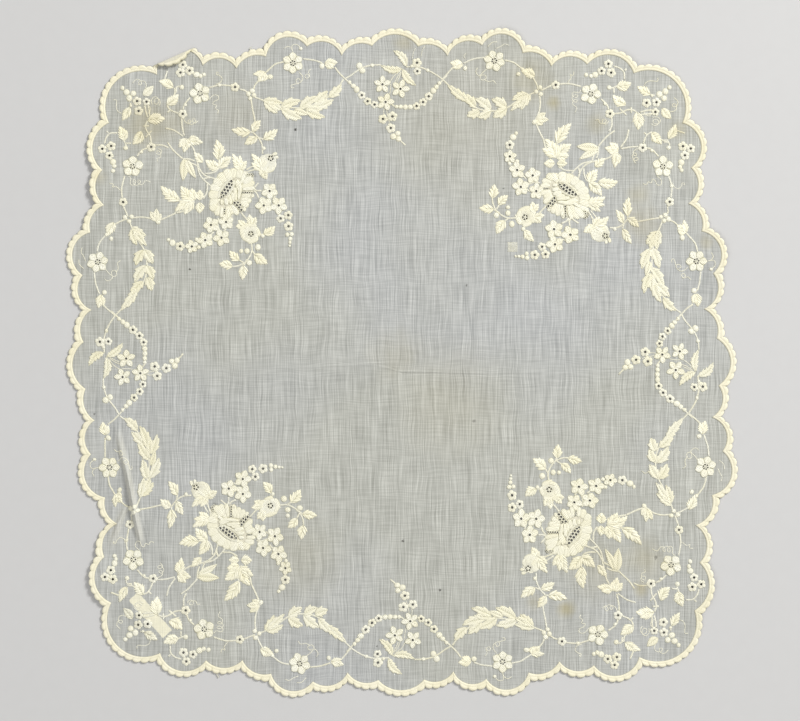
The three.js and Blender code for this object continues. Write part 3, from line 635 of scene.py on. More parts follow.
class Needlework:
    """Raised stitching, gathered in the chart's pixels and laid on the cloth at the end."""

    def __init__(self, seed):
        self.chance = random.Random(seed)
        self.points, self.heights, self.stitch, self.tone, self.deep = [], [], [], [], []
        self.faces, self.holes = [], []
        self.yellow = 0.0

    def add(self, points, heights, stitch, ring=False, deep=None, spread=0.35):
        """A closed shape from rows of points across it. A ring's last row meets its first."""
        count, across = heights.shape
        base = sum(len(block) for block in self.heights)
        number = base + np.arange(count * across).reshape(count, across)
        self.points.append(points.reshape(-1, 2))
        self.heights.append(heights.ravel())
        self.stitch.append(stitch.ravel())
        self.tone.append(np.full(count * across, self.yellow + self.chance.uniform(0, spread)))
        # The deep layer is painted shade: by default stitching is darker the lower it lies below its crest
        if deep is None:
            crest = heights.max()
            deep = np.clip((crest - heights) / (crest - STITCH_BOTTOM), 0, 1.6)
        self.deep.append(np.broadcast_to(deep, heights.shape).ravel())
        self.faces += grid_faces(number, ring)
        if not ring:
            self.faces.append(tuple(number[0]))
            self.faces.append(tuple(number[-1][::-1]))

    def blade(self, base, tip, width, bend=0, teeth=0, height=0.55, petal=False):
        """A satin-stitched leaf or petal, with a groove along a leaf's middle."""
        base, tip = np.array(base, float), np.array(tip, float)
        length = np.linalg.norm(tip - base)
        normal = left_of(tip - base) / length
        count = max(12, teeth * 7 + 1)
        s = np.linspace(0, 1, count)
        t = np.array([-1, -0.86, -0.55, -0.2, 0, 0.2, 0.55, 0.86, 1])
        if petal == "round":
            half = np.sin(math.pi * np.clip(0.18 + 0.82 * s, 0, 0.985) ** 1.3) ** 0.8
        elif petal:
            round_end = np.sqrt(np.clip(1 - ((s - 0.6) / 0.41) ** 2, 0, 1))
            half = np.where(s > 0.6, round_end, 0.5 + 0.5 * np.sin(s / 0.6 * math.pi / 2))
        else:
            half = np.sin(math.pi * s**0.8) ** 0.85
        half = np.maximum(half * width / 2, 0.25)
        sides = np.repeat(half[:, None], len(t), axis=1)
        forward = np.zeros_like(sides)
        if teeth:
            for side, start in ((t < 0, 0.0), (t > 0, 0.45)):
                saw = (s[:, None] * teeth + start) % 1
                bite = abs(t) ** 2 * side
                sides = sides * (1 - 0.45 * bite * (1 - saw))
                forward += bite * saw * 0.11 * width
        spine = base + s[:, None] * (tip - base) + (bend * length * np.sin(math.pi * s))[:, None] * normal
        points = spine[:, None] + (sides * t)[..., None] * normal
        points = points + forward[..., None] * (tip - base) / length
        dome = np.array([0, 0.7, 0.95, 1, 1, 1, 0.95, 0.7, 0])
        if petal == "round":
            dome = np.array([0, 0.75, 1, 0.96, 0.72, 0.96, 1, 0.75, 0])
        if not petal:
            dome = np.array([0, 0.75, 1, 0.9, 0.4, 0.9, 1, 0.75, 0])
        ends = np.clip(np.sin(math.pi * np.clip(s, 0.03, 0.97)) * 3, 0, 1)
        heights = STITCH_BOTTOM + (height + STITCH_SINK) * dome * (0.35 + 0.65 * ends[:, None])
        stitch = 0.6 * ((s * length)[:, None] - 1.3 * abs(sides * t)) * MM
        deep = None
        if petal:
            # Petals get painted shade along their sides and over their tips, as outlines
            rim = np.array([1, 0.75, 0.12, 0, 0.1, 0, 0.12, 0.75, 1])
            deep = np.maximum(rim, np.clip((s - 0.9) / 0.1, 0, 1)[:, None])
        if petal and petal != "round":
            stitch = (half[:, None] * t + 0.12 * (s * length)[:, None]) * MM
        heights[:, [0, -1]] = STITCH_BOTTOM
        self.add(points, heights, stitch, deep=deep)

    def barb(self, start, end, width, height):
        """One bundle of long satin stitches, pointed at its far end."""
        along = end - start
        normal = left_of(along) / np.linalg.norm(along)
        s = np.linspace(0, 1, 7)
        t = np.array([-1, -0.6, 0, 0.6, 1])
        half = width / 2 * np.array([0.5, 0.8, 1, 1, 0.85, 0.6, 0.15])
        points = start + s[:, None, None] * along + (half[:, None] * t)[..., None] * normal
        rise = np.array([0.6, 0.85, 1, 1, 0.95, 0.8, 0.45])
        heights = STITCH_BOTTOM + (height + STITCH_SINK) * rise[:, None] * np.array([0, 0.8, 1, 0.8, 0])
        # Painted shade along the barb's sides and towards its base
        deep = np.maximum(np.array([0.9, 0.3, 0, 0.3, 0.9]), 0.5 * (1 - s[:, None]) ** 3)
        self.add(points, heights, 0.6 * half[:, None] * t * MM, deep=deep, spread=0.25)

    def leaf(self, base, tip, width, bend, teeth, height):
        """A leaf: with teeth, its long slanting stitches lie in barbs on both sides of its middle."""
        if teeth < 2:
            self.blade(base, tip, width, bend, teeth, height)
            return
        self.blade(base, tip, width * 0.88, bend, 0, height - 0.06)
        base, tip = np.array(base, float), np.array(tip, float)
        length = np.linalg.norm(tip - base)
        normal = left_of(tip - base) / length

        def middle(s):
            return base + s * (tip - base) + bend * length * math.sin(math.pi * s) * normal

        barbs = teeth + 1
        for side, start in ((-1, 0.1), (1, 0.5)):
            for k in range(barbs):
                s = (k + start) / (barbs + 0.9)
                reach = s + 0.4 - 0.12 * s
                out = math.sin(math.pi * min(reach, 0.97) ** 0.8) ** 0.7 * width / 2
                out = max(out * self.chance.uniform(0.92, 1.12), 0.5)
                end = middle(min(reach, 0.98)) + side * out * normal
                broad = length / (barbs + 0.9) * 0.82
                self.barb(middle(s), end, broad, height + self.chance.uniform(-0.04, 0.06))
        self.barb(middle(0.55), middle(1.02), width * 0.28, height + 0.06)

    def flower(self, x, y, radius, petals, width, start, hole, turn):
        """Separate satin petals about a hole or a lace centre."""
        middle = np.array([x, y], float)
        for k in range(petals):
            angle = math.radians(turn) + k / petals * math.tau + self.chance.uniform(-0.05, 0.05)
            way = np.array([math.cos(angle), math.sin(angle)])
            tip = middle + way * radius * self.chance.uniform(0.95, 1.03)
            broad = radius * width * self.chance.uniform(1.05, 1.17)
            height = self.chance.uniform(0.48, 0.58)
            self.blade(middle + way * radius * start, tip, broad, 0, 0, height, petal="round")
        if hole:
            self.bloom(x, y, hole + 1.3, 1, hole, 0, 0, 0.62)
        else:
            self.bloom(x, y, radius * start + 1.1, 1, radius * start - 0.1, 0, 0, 0.45, plain=True)

    def bloom(self, x, y, radius, petals, hole, notch, turn, height=0.6, eye=None, plain=False):
        """A round of petals about a hole, all in one raised ring."""
        eye = np.array(eye or (x, y), float)
        count = max(24, petals * 10)
        angle = np.arange(count) / count * math.tau
        petal = abs(np.cos(petals * (angle - math.radians(turn)) / 2))
        reach = radius * (1 - notch * (1 - petal**0.8))
        way = np.column_stack([np.cos(angle), np.sin(angle)])
        rim = np.array([x, y]) + reach[:, None] * way
        lip = eye + hole * way
        well = eye + 0.5 * hole * way
        share = np.array([0, 0, 0.12, 0.4, 0.75, 0.93, 1])
        dome = np.array([0, 0.8, 1, 0.95, 0.9, 0.6, 0])
        points = lip[:, None] * (1 - share)[:, None] + rim[:, None] * share[:, None]
        groove = 0.5 + 0.5 * np.clip(petal * 2.2, 0, 1) if petals > 1 else np.ones(count)
        heights = STITCH_BOTTOM + height * dome * (groove[:, None] * (share > 0.2) + (share <= 0.2))
        heights[:, 0] = STITCH_BOTTOM if plain else EYELET_BOTTOM
        heights[:, -1] = STITCH_BOTTOM
        stitch = np.repeat((angle * radius * 0.8 * MM)[:, None], len(share), axis=1)
        # Painted shade towards the ring's outer foot and in the grooves between its petals
        deep = np.clip((1 - dome) * 0.9 * (share > 0.3) + 0.5 * (1 - groove[:, None]) * (share > 0.2), 0, 1)
        if not plain:
            points[:, 0] = well
            # Painted shade: the hole's wall and well are coloured almost black
            deep[:, 0] = 6
        self.add(points, heights, stitch, ring=True, deep=deep)
        if not plain and eye[0] == x and eye[1] == y and hole < 2:
            self.holes.append((x, y, hole))

    def eyelet(self, x, y, radius):
        self.bloom(x, y, radius * 1.04, 5, 1.25, 0.24, self.chance.uniform(0, 72), 0.6)

    def lace_hole(self, x, y, hole, height=0.45):
        self.bloom(x, y, hole + 0.6, 1, hole, 0, 0, height)

    def lace_ring(self, x, y, radius, holes, hole):
        for k in range(holes):
            angle = k / holes * math.tau + 0.3
            self.lace_hole(x + radius * math.cos(angle), y + radius * math.sin(angle), hole)
        self.dot(x, y, 0.85)

    def dot(self, x, y, radius):
        count = 14
        angle = np.arange(count) / count * math.tau
        share = np.array([0.004, 0.06, 0.45, 0.8, 1, 1, 0.004])
        stretch = self.chance.uniform(0.92, 1.08)
        way = np.column_stack([stretch * np.cos(angle), np.sin(angle) / stretch])
        points = np.array([x, y]) + radius * way[:, None] * share[:, None]
        heights = np.tile(STITCH_FOOT + 0.65 * np.array([1, 0.998, 0.92, 0.6, 0, -0.15, -0.15]), (count, 1))
        slant = self.chance.uniform(0, math.pi)
        self.add(points, heights, (points @ np.array([math.cos(slant), math.sin(slant)])) * MM, ring=True)

    def layers(self, flat):
        """What the material reads at each point."""
        return {
            "stitch": np.concatenate(self.stitch),
            "tone": np.concatenate(self.tone),
            # deep: how much shade is painted on the stitching
            "deep": np.concatenate(self.deep),
            "stained": stains_at(flat),
        }

    def cord(self, through, width, height):
        """A corded line through some points."""
        p = np.array(through, float)
        ends = np.concatenate([[2 * p[0] - p[1]], p, [2 * p[-1] - p[-2]]])
        line = []
        for a, b, c, d in zip(ends, ends[1:], ends[2:], ends[3:]):
            steps = max(3, int(np.linalg.norm(c - b) / 1.2))
            for t in np.arange(steps) / steps:
                bent = (2 * a - 5 * b + 4 * c - d) * t**2 + (3 * b - a - 3 * c + d) * t**3
                line.append(0.5 * (2 * b + (c - a) * t + bent))
        line = np.array(line + [p[-1]])
        way = np.gradient(line, axis=0)
        way /= np.linalg.norm(way, axis=1)[:, None] + 1e-9
        normal = np.column_stack([-way[:, 1], way[:, 0]])
        travelled = np.concatenate([[0], np.cumsum(np.linalg.norm(np.diff(line, axis=0), axis=1))])
        t = np.array([-1, -0.75, 0, 0.75, 1])
        swell = width / 2 * (1 + 0.12 * np.sin(travelled * 1.1 + self.chance.uniform(0, 6)))
        points = line[:, None] + (swell[:, None] * t)[..., None] * normal[:, None]
        heights = np.tile(STITCH_BOTTOM + height * np.array([0, 0.75, 1, 0.75, 0]), (len(line), 1))
        stitch = (travelled[:, None] + 0.8 * t * width) * MM
        self.add(points, heights, stitch)


def quarter_chart(seed):
    """One quarter of the embroidery, charted at the top left."""
    work = Needlework(seed)
    for points in STEMS:
        work.cord(points, *STEM_LINE)
    for points in TENDRILS:
        work.cord(points, *TENDRIL_LINE)
    work.yellow = 0.3
    for bx, by, tx, ty, width, bend, teeth in LEAVES:
        height = work.chance.uniform(*LEAF_HEIGHTS)
        work.leaf((bx, by), (tx, ty), width * LEAF_WIDEN, bend, teeth, height)
    for bx, by, tx, ty, width, bend, teeth in LAUREL:
        height = work.chance.uniform(*LEAF_HEIGHTS)
        work.blade((bx, by), (tx, ty), width * LAUREL_WIDEN, bend, teeth, height)
    work.yellow = 0.15
    for bx, by, tx, ty, width, height in ROSE_PETALS:
        work.blade((bx, by), (tx, ty), width, 0, 0, height, petal=True)
    for rim in ROSE_RIMS:
        work.cord(rim, *RIM_LINE)
    work.yellow = 0.0
    for flower in FLOWERS:
        work.flower(*flower)
    for x, y, radius, petals, eye_x, eye_y, eye in BUDS:
        work.bloom(x, y, radius, petals, eye, 0.06, 20, 0.46, eye=(eye_x, eye_y))
    work.yellow = 0.15
    for bx, by, tx, ty, width, height in BUD_PETALS:
        work.blade((bx, by), (tx, ty), width, 0, 0, height, petal=True)
    work.yellow = 0.0
    for ring in LACE_RINGS:
        work.lace_ring(*ring)
    for x0, y0, x1, y1, holes, radius in ROSE_LACE:
        for share in np.linspace(0, 1, holes):
            work.lace_hole(x0 + share * (x1 - x0), y0 + share * (y1 - y0), radius, 0.75)
    for eyelet in EYELETS:
        work.eyelet(*eyelet)
    for x, y, radius in DOTS:
        work.dot(x, y, radius * DOT_WIDEN)
    return work


def to_quarter(points, quarter):
    """Chart points turned into their quarter and eased to where its places lie."""
    centre = np.array(DESIGN_CENTRE)
    turn = np.linalg.matrix_power(np.array([[0, -1], [1, 0]]), quarter)
    turned = centre + (points - centre) @ turn.T
    charted = centre + (np.array([place[0] for place in PLACES]) - centre) @ turn.T
    shift = np.array([place[quarter] for place in PLACES]) - charted
    eased = []
    for block in np.array_split(turned, max(1, len(turned) // 4000)):
        weight = 1 / (((block[:, None] - charted[None]) ** 2).sum(-1) + 6) ** 1.6
        eased.append(block + weight @ shift / weight.sum(1)[:, None])
    return np.concatenate(eased)


# Materials


class Nodes:
    """A material's nodes, made one after another."""

    def __init__(self, name):
        self.material = bpy.data.materials.new(name)
        self.material.use_nodes = True
        self.tree = self.material.node_tree
        self.shader = self.tree.nodes["Principled BSDF"]

    def make(self, kind, values=None, **settings):
        node = self.tree.nodes.new(kind)
        for key, value in settings.items():
            setattr(node, key, value)
        self.put(node, values or {})
        return node

    def put(self, node, values):
        """Links a value that is another node's output, and sets any other."""
        for key, value in values.items():
            if isinstance(value, bpy.types.NodeSocket):
                self.tree.links.new(value, node.inputs[key])
            else:
                node.inputs[key].default_value = value

    def math(self, operation, a, b=0.0, clamp=False):
        return self.make("ShaderNodeMath", {0: a, 1: b}, operation=operation, use_clamp=clamp).outputs[0]

    def mix(self, share, a, b, blend="MIX"):
        node = self.make("ShaderNodeMix", data_type="RGBA", blend_type=blend)
        self.put(node, {0: share, 6: a, 7: b})
        return node.outputs[2]

    def noise(self, place, scale, detail=2.0):
        settings = {"Vector": place, "Scale": scale, "Detail": detail}
        return self.make("ShaderNodeTexNoise", settings).outputs["Fac"]

    def coordinates(self):
        """Places on the object, in metres."""
        return self.make("ShaderNodeTexCoord").outputs["Object"]

    def place(self, scale=(1, 1, 1), turn=0.0):
        """Object coordinates, stretched and turned."""
        settings = {"Vector": self.coordinates(), "Scale": scale, "Rotation": (0, 0, turn)}
        return self.make("ShaderNodeMapping", settings).outputs[0]

    def joined(self, operation, parts):
        """The parts put together, one after another."""
        total, *others = parts
        for part in others:
            total = self.math(operation, total, part)
        return total

    def layer(self, name):
        return self.make("ShaderNodeAttribute", attribute_name=name).outputs["Fac"]

    def ramp(self, value, low, high, a=0.0, b=1.0):
        settings = {"Value": value, "From Min": low, "From Max": high, "To Min": a, "To Max": b}
        return self.make("ShaderNodeMapRange", settings).outputs[0]

    def surface(self, **values):
        """Sets the shader's sockets, named with underscores for spaces."""
        self.put(self.shader, {name.replace("_", " "): value for name, value in values.items()})

    def bump(self, height, distance, strength=1.0):
        node = self.make("ShaderNodeBump", {"Height": height, "Distance": distance, "Strength": strength})
        self.surface(Normal=node.outputs[0])

    def strip_mask(self):
        """Where the ribbon lies behind the cloth."""
        start = (*(to_mm(STRIP_MIDDLE) / 1000), 0)
        settings = {"Vector": self.coordinates(), "Location": start, "Rotation": (0, 0, STRIP_TURN)}
        local = self.make("ShaderNodeMapping", settings, vector_type="TEXTURE").outputs[0]
        axes = self.make("ShaderNodeSeparateXYZ", {0: local}).outputs
        ragged = self.ramp(self.noise(self.place(), 700, 2), 0.3, 0.7, -0.0002, 0.0002)
        parts = []
        for axis, size in ((0, STRIP_LENGTH), (1, STRIP_WIDTH)):
            away = self.math("ADD", self.math("ABSOLUTE", axes[axis]), ragged)
            parts.append(self.ramp(away, size / 2000 + 0.0002, size / 2000 - 0.0003))
        return self.joined("MULTIPLY", parts)

    def specks(self):
        """Where the specks of dirt are."""
        parts = []
        coordinates = self.coordinates()
        ragged = self.ramp(self.noise(self.place(turn=0.6), 2200, 0), 0.3, 0.7, -0.00025, 0.00025)
        for x, y, radius, strength in SPECKS:
            middle = to_mm((x, y)) / 1000
            away = self.make(
                "ShaderNodeVectorMath", {0: coordinates, 1: (*middle, 0)}, operation="DISTANCE"
            ).outputs["Value"]
            size = radius * MM / 1000
            parts.append(self.ramp(self.math("ADD", away, ragged), size, size * 0.55, 0, strength))
        return self.joined("MAXIMUM", parts)


# Old stains on the lawn: x, y, radius, strength
STAINS = [
    (146, 124, 32, 0.34), (172, 122, 24, 0.26), (100, 178, 9, 0.35), (470, 110, 120, 0.1),
    (566, 609, 11, 0.65), (641, 589, 10, 0.55), (530, 80, 32, 0.27), (553, 103, 9, 0.6),
    (597, 124, 13, 0.35), (678, 130, 12, 0.3), (638, 196, 14, 0.3), (706, 243, 8, 0.35),
    (640, 225, 26, 0.3), (395, 355, 32, 0.16), (645, 560, 26, 0.3), (600, 570, 40, 0.2),
    (450, 400, 70, 0.14), (535, 602, 10, 0.3), (300, 560, 50, 0.12), (240, 120, 40, 0.15),
    (403, 44, 12, 0.4),
]
# The darned square: its left, right, top and bottom, and its first threads, their spacing and their number
DARN_ENDS = (507.4, 517.2, 242.2, 252)
DARN_START, DARN_STEP, DARN_THREADS = (508, 242.6), 1.1, 9
# Threads that have worked loose, through these points
LOOSE_THREADS = [
    [(250.4, 53.4), (251.2, 50.4), (249.8, 48.6), (251.4, 47.2)],
    [(216.4, 668.4), (217.6, 671.6), (217, 674.4), (219, 677.4)],
    [(709.4, 305), (713.4, 308.4), (716.4, 312), (714.8, 314.2), (712.6, 311.4)],
    [(103, 628), (104.4, 630.6), (103.2, 632)],
    [(466, 53.6), (463.8, 56.4), (465.4, 59)],
    [(641.6, 470.8), (645, 473.4), (648.4, 471.6)],
    [(415.4, 48), (413.4, 52.6), (412, 59.6)],
    [(424.8, 46.4), (422.4, 50), (421, 57)],
]
# Specks of dirt: x, y, radius, strength
SPECKS = [
    (295.6, 129.8, 1.9, 1), (189.9, 269.3, 1.7, 0.9), (503.7, 188.7, 1.5, 0.8), (466.6, 285.5, 1.6, 0.8),
    (402.9, 541, 1.8, 1), (440, 590, 1.7, 0.8), (477, 586, 1.3, 0.7), (94.7, 414, 1.6, 0.8),
    (377, 646, 1.4, 0.8), (156.6, 122.7, 2.2, 0.9), (160.8, 115, 1.5, 0.8), (656, 557.2, 2.1, 0.55),
    (655.4, 559.4, 1.5, 0.5), (474, 421, 2.4, 0.4),
]


def lawn_material():
    nodes = Nodes("lawn")
    settings = {"Vector": nodes.place(), "Scale": 45, "Detail": 1.0}
    drift = nodes.make("ShaderNodeTexNoise", settings).outputs["Color"]
    sway = nodes.make(
        "ShaderNodeVectorMath", {0: drift, 1: (THREAD_SWAY, THREAD_SWAY, 0)}, operation="MULTIPLY"
    ).outputs[0]
    swayed = nodes.make("ShaderNodeVectorMath", {0: nodes.place(), 1: sway}, operation="ADD").outputs[0]

    def threads(x, y, detail=2.0):
        stretched = nodes.make("ShaderNodeMapping", {"Vector": swayed, "Scale": (x, y, 1)}).outputs[0]
        return nodes.noise(stretched, 1.0, detail)

    # uneven warp and weft threads, thick and thin, in bands of several widths
    parts = []
    for x, y, detail, share in WEAVE:
        parts.append(nodes.ramp(threads(x, y, detail), 0.28, 0.72, -share, share))
    tone = nodes.ramp(nodes.joined("ADD", parts), -1.3, 1.3)
    cool = nodes.mix(tone, *LAWN_COOL)
    warm = nodes.mix(tone, *LAWN_WARM)
    side = nodes.ramp(nodes.noise(nodes.place(), 5.5, 2), 0.36, 0.56)
    colour = nodes.mix(side, cool, warm)
    colour = nodes.mix(nodes.layer("stained"), colour, STAINED_LAWN)
    colour = nodes.mix(nodes.math("MULTIPLY", nodes.layer("worked"), 0.9), colour, LAWN_WORKED)
    # Paler along the ridges: the doubled cloth, and a painted highlight on their crests
    colour = nodes.mix(nodes.math("MULTIPLY", nodes.layer("doubled_and_lit"), 0.5), colour, LAWN_DOUBLED_AND_LIT)
    backed = nodes.strip_mask()
    ends = nodes.ramp(nodes.noise(nodes.place(), 300, 1), 0.3, 0.7, 0.8, 1.0)
    colour = nodes.mix(nodes.math("MULTIPLY", backed, ends), colour, LAWN_BACKED)
    colour = nodes.mix(nodes.specks(), colour, DIRT)
    nodes.surface(Base_Color=colour, Roughness=0.85, Sheen_Weight=0.15, Specular_IOR_Level=0.25)
    nodes.surface(Alpha=nodes.ramp(tone, 0.0, 1.0, 0.8, 0.94))
    nodes.bump(tone, 0.00012, 0.7)
    return nodes.material


def thread_material(name, light, deep, pitch, groove_shade):
    """Soft cotton thread, laid side by side every pitch millimetres along the stitch layer."""
    nodes = Nodes(name)
    turns = nodes.math("MULTIPLY", nodes.layer("stitch"), math.tau / pitch)
    wobble = nodes.math("MULTIPLY", nodes.noise(nodes.place(), 420, 2), 5.0)
    ridge = nodes.math("SINE", nodes.math("ADD", turns, wobble))
    worn = nodes.noise(nodes.place(), 160, 3)
    aged = nodes.ramp(nodes.noise(nodes.place(), 11, 2), 0.42, 0.62, 0, 0.18)
    tone = nodes.math("ADD", nodes.layer("tone"), nodes.ramp(worn, 0.3, 0.7, -0.12, 0.16))
    colour = nodes.mix(nodes.math("ADD", tone, aged, clamp=True), light, deep)
    stained = nodes.math("MULTIPLY", nodes.layer("stained"), 1.4, clamp=True)
    colour = nodes.mix(stained, colour, STAINED_THREAD)
    # Painted shade: the colour darkens in the grooves between threads and towards the stitching's foot, a
    # little warmer there
    foot = nodes.math("MULTIPLY", nodes.layer("deep"), 1.0, clamp=True)
    between = nodes.ramp(ridge, -1.0, 0.1, groove_shade, 1.0)
    groove = nodes.math("MULTIPLY", between, nodes.ramp(foot, 0.15, 1.0, 1.0, FOOT_SHADE))
    warmer = nodes.math("POWER", groove, 1.25)
    shade = nodes.make("ShaderNodeCombineColor", {0: groove, 1: groove, 2: warmer}).outputs[0]
    colour = nodes.mix(1.0, colour, shade, "MULTIPLY")
    # Painted shade: almost black on the walls and wells of eyelets and lace holes
    hollow_shade = nodes.ramp(nodes.layer("deep"), 1.05, 1.35)
    colour = nodes.mix(hollow_shade, colour, HOLLOW_SHADE)
    nodes.surface(Base_Color=colour, Roughness=0.6, Specular_IOR_Level=0.35)
    nodes.surface(Sheen_Weight=0.2, Sheen_Roughness=0.4)
    nodes.bump(ridge, 0.0001, 4 * (1 - groove_shade))
    return nodes.material


def ribbon_material():
    nodes = Nodes("ribbon")
    turned = nodes.place((1, 1, 1), -STRIP_TURN)
    settings = {"Vector": turned, "Scale": 500, "Distortion": 0.4}
    ribs = nodes.make("ShaderNodeTexWave", settings, wave_type="BANDS", bands_direction="X").outputs["Fac"]
    cross = nodes.noise(nodes.place((40, 900, 1), -STRIP_TURN), 1.0, 2)
    share = nodes.math("MULTIPLY", nodes.math("ADD", ribs, cross), 0.5)
    colour = nodes.mix(share, RIBBON_DEEP, RIBBON_LIGHT)
    nodes.surface(Base_Color=colour, Roughness=0.7, Sheen_Weight=0.2)
    nodes.bump(ribs, 0.0001, 0.6)
    return nodes.material


def floor_material():
    nodes = Nodes("floor")
    grain = nodes.noise(nodes.place(), 120, 4)
    nodes.surface(Base_Color=nodes.mix(grain, FLOOR_DEEP, FLOOR_LIGHT), Roughness=0.9)
    return nodes.material


# Pieces


def stains_at(flat):
    """How strongly the cloth is stained at each place."""
    stained = np.zeros(len(flat))
    ragged = 5 * ripple(flat * 1.7) + 3 * ripple(flat[:, ::-1] * 3.1)
    for x, y, radius, strength in STAINS:
        away = np.linalg.norm(flat - to_mm((x, y)), axis=1) + np.minimum(1, radius / 30) * ragged
        size = radius * MM
        stained = np.maximum(stained, strength * np.clip((size - away) / (0.75 * size), 0, 1))
    return stained


def make_edge(material):
    """The padded, buttonhole-stitched edge, with its row of small scallops."""
    outer, inner, through = edge_sections(7)
    share = np.array([0, 0.03, 0.16, 0.36, 0.55, 0.64, 0.73, 0.88, 1.0, 1.06, 0.5])
    dome = np.array([0.35, 0.72, 0.97, 1.0, 0.92, 0.76, 0.84, 0.84, 0.64, 0.42, 0.2])
    pad = 0.76 + 0.24 * np.sin(math.pi * through) ** 0.4
    points = outer[:, None] * (1 - share)[:, None] + inner[:, None] * share[:, None]
    padded = (share < 0.6) & (dome > 0.5)
    scale = 1 - (1 - pad[:, None]) * padded
    heights = EDGE_CROWN * dome * scale
    length = np.concatenate([[0], np.cumsum(np.linalg.norm(np.diff((outer + inner) / 2, axis=0), axis=1))])
    stitch = np.repeat(length[:, None], len(share), axis=1)
    faces = grid_faces(np.arange(heights.size).reshape(heights.shape), ring=True)
    worn = 0.3 + 0.4 * ripple(points.reshape(-1, 2) * 2)
    # Painted shade at the edge's feet, in the groove before its inner cord and between its scallop pads
    deep = np.array([0.8, 0.3, 0, 0, 0.05, 0.35, 0, 0, 0.2, 0.8, 0.1]) + (1 - pad[:, None]) * padded * 2
    place = lay(points.reshape(-1, 2), heights.ravel())
    layers = {
        "stitch": stitch.ravel(), "tone": worn, "deep": deep.ravel(),
        "stained": stains_at(points.reshape(-1, 2)),
    }
    return make_object("stitched_edge", place, faces, layers, material)


def circle(x, y, radius, count):
    angle = np.arange(count) / count * math.tau
    return np.column_stack([x + radius * np.cos(angle), y + radius * np.sin(angle)])


def lawn_points(outline, holes):
    """Points inside the lawn, closer together over the ridges, the creases and the turned lobe."""

    def grid(low, high, step):
        x, y = np.meshgrid(np.arange(low[0], high[0], step), np.arange(low[1], high[1], step))
        x = x + (np.arange(x.shape[0]) % 2)[:, None] * step / 2
        return np.column_stack([x.ravel(), y.ravel()])

    def away_from(points, line):
        return np.min([near_segment(points, a, b)[1] for a, b in zip(line, line[1:])], axis=0)

    wide = grid(outline.min(0), outline.max(0), WIDE_GRID)
    near = np.zeros(len(wide), bool)
    close = []
    ridges = [(*ridge, RIDGE_GRID) for ridge in RIDGES]
    creases = [(*crease, CREASE_GRID) for crease in CREASES]
    for width, stations, step in ridges + creases:
        line = to_mm([station[:2] for station in stations])
        patch = grid(line.min(0) - width - 2, line.max(0) + width + 2, step)
        close.append(patch[away_from(patch, line) < width + 0.6])
        near |= away_from(wide, line) < width + 1.3
    a, b = to_mm(TURN_FROM), to_mm(TURN_TO)
    patch = grid(np.minimum(a, b) - 9, np.maximum(a, b) + 14, TURN_GRID)
    lobe_near = near_segment(patch, a, b)[1] < 9
    close.append(patch[lobe_near])
    near |= near_segment(wide, a, b)[1] < 9.6
    points = np.concatenate([wide[~near], *close])
    points = points[np.unique(np.round(points / 0.35), axis=0, return_index=True)[1]]
    points = points[inside_loop(points, outline)]
    keep = np.ones(len(points), bool)
    for hole in holes:
        keep &= np.linalg.norm(points - hole[:2], axis=1) > hole[2] + 0.35
    edge_gap = np.full(len(points), 9.0)
    for corner in outline:
        edge_gap = np.minimum(edge_gap, np.linalg.norm(points - corner, axis=1))
    return points[keep & (edge_gap > 0.4)]


def make_lawn(holes, material):
    """The sheer ground: one thin closed sheet, with the eyelets cut through it."""
    outer, inner, _ = edge_sections(3)
    outline = ((outer + inner) / 2)[::-1]
    loops = [outline] + [circle(x, y, radius, 9) for x, y, radius in holes]
    filling = lawn_points(outline, holes)
    points = np.concatenate(loops + [filling])
    faces, start = [], 0
    for loop in loops:
        faces.append(list(range(start, start + len(loop))))
        start += len(loop)
    corners = [tuple(p) for p in points]
    flat, _, triangles, _, _, sources = delaunay_2d_cdt(corners, [], faces, 1, 1e-4, True)
    flat = np.array([tuple(p) for p in flat])
    kept = [tuple(t) for t, source in zip(triangles, sources) if list(source) == [0]]
    used = sorted({n for t in kept for n in t})
    number = {n: i for i, n in enumerate(used)}
    flat = flat[used]
    kept = [tuple(number[n] for n in t) for t in kept]
    count = len(flat)
    open_edges = {}
    for t in kept:
        for a, b in zip(t, t[1:] + t[:1]):
            if (b, a) in open_edges:
                del open_edges[(b, a)]
            else:
                open_edges[(a, b)] = True
    faces = kept + [tuple(n + count for n in t[::-1]) for t in kept]
    faces += [(b, a, a + count, b + count) for a, b in open_edges]
    place = np.concatenate([lay(flat, np.full(count, LAWN_TOP)), lay(flat, np.full(count, LAWN_UNDER))])
    worked = np.zeros(count)
    for quarter in range(4):
        worked[inside_loop(flat, to_mm(to_quarter(np.array(ROSE_OUTLINE, float), quarter)))] = 1
    start, along = to_mm(TURN_FROM), to_mm(TURN_TO) - to_mm(TURN_FROM)
    beyond = (flat - start) @ left_of(along) / np.linalg.norm(along) + TURN_RADIUS
    by_the_fold = np.linalg.norm(flat - start - along / 2, axis=1) < TURN_REACH
    worked = np.maximum(worked, 0.85 * soft(beyond / 1.5) * by_the_fold)
    # Along the ridges: doubled cloth, and a painted highlight on their crests
    doubled_and_lit = np.zeros(count)
    for _, stations in RIDGES:
        for rise, distance in stretches(flat, stations):
            doubled_and_lit = np.maximum(doubled_and_lit, soft(rise / 1.6) * soft((3.2 - distance) / 1.7))
    stained = stains_at(flat)
    layers = {"worked": np.tile(worked, 2), "doubled_and_lit": np.tile(doubled_and_lit, 2), "stained": np.tile(stained, 2)}
    corners = flat[np.array(kept)]
    edge_a, edge_b = corners[:, 1] - corners[:, 0], corners[:, 2] - corners[:, 0]
    area = abs(edge_a[:, 0] * edge_b[:, 1] - edge_a[:, 1] * edge_b[:, 0]).sum() / 2e6
    return make_object("lawn", place, faces, layers, material), area


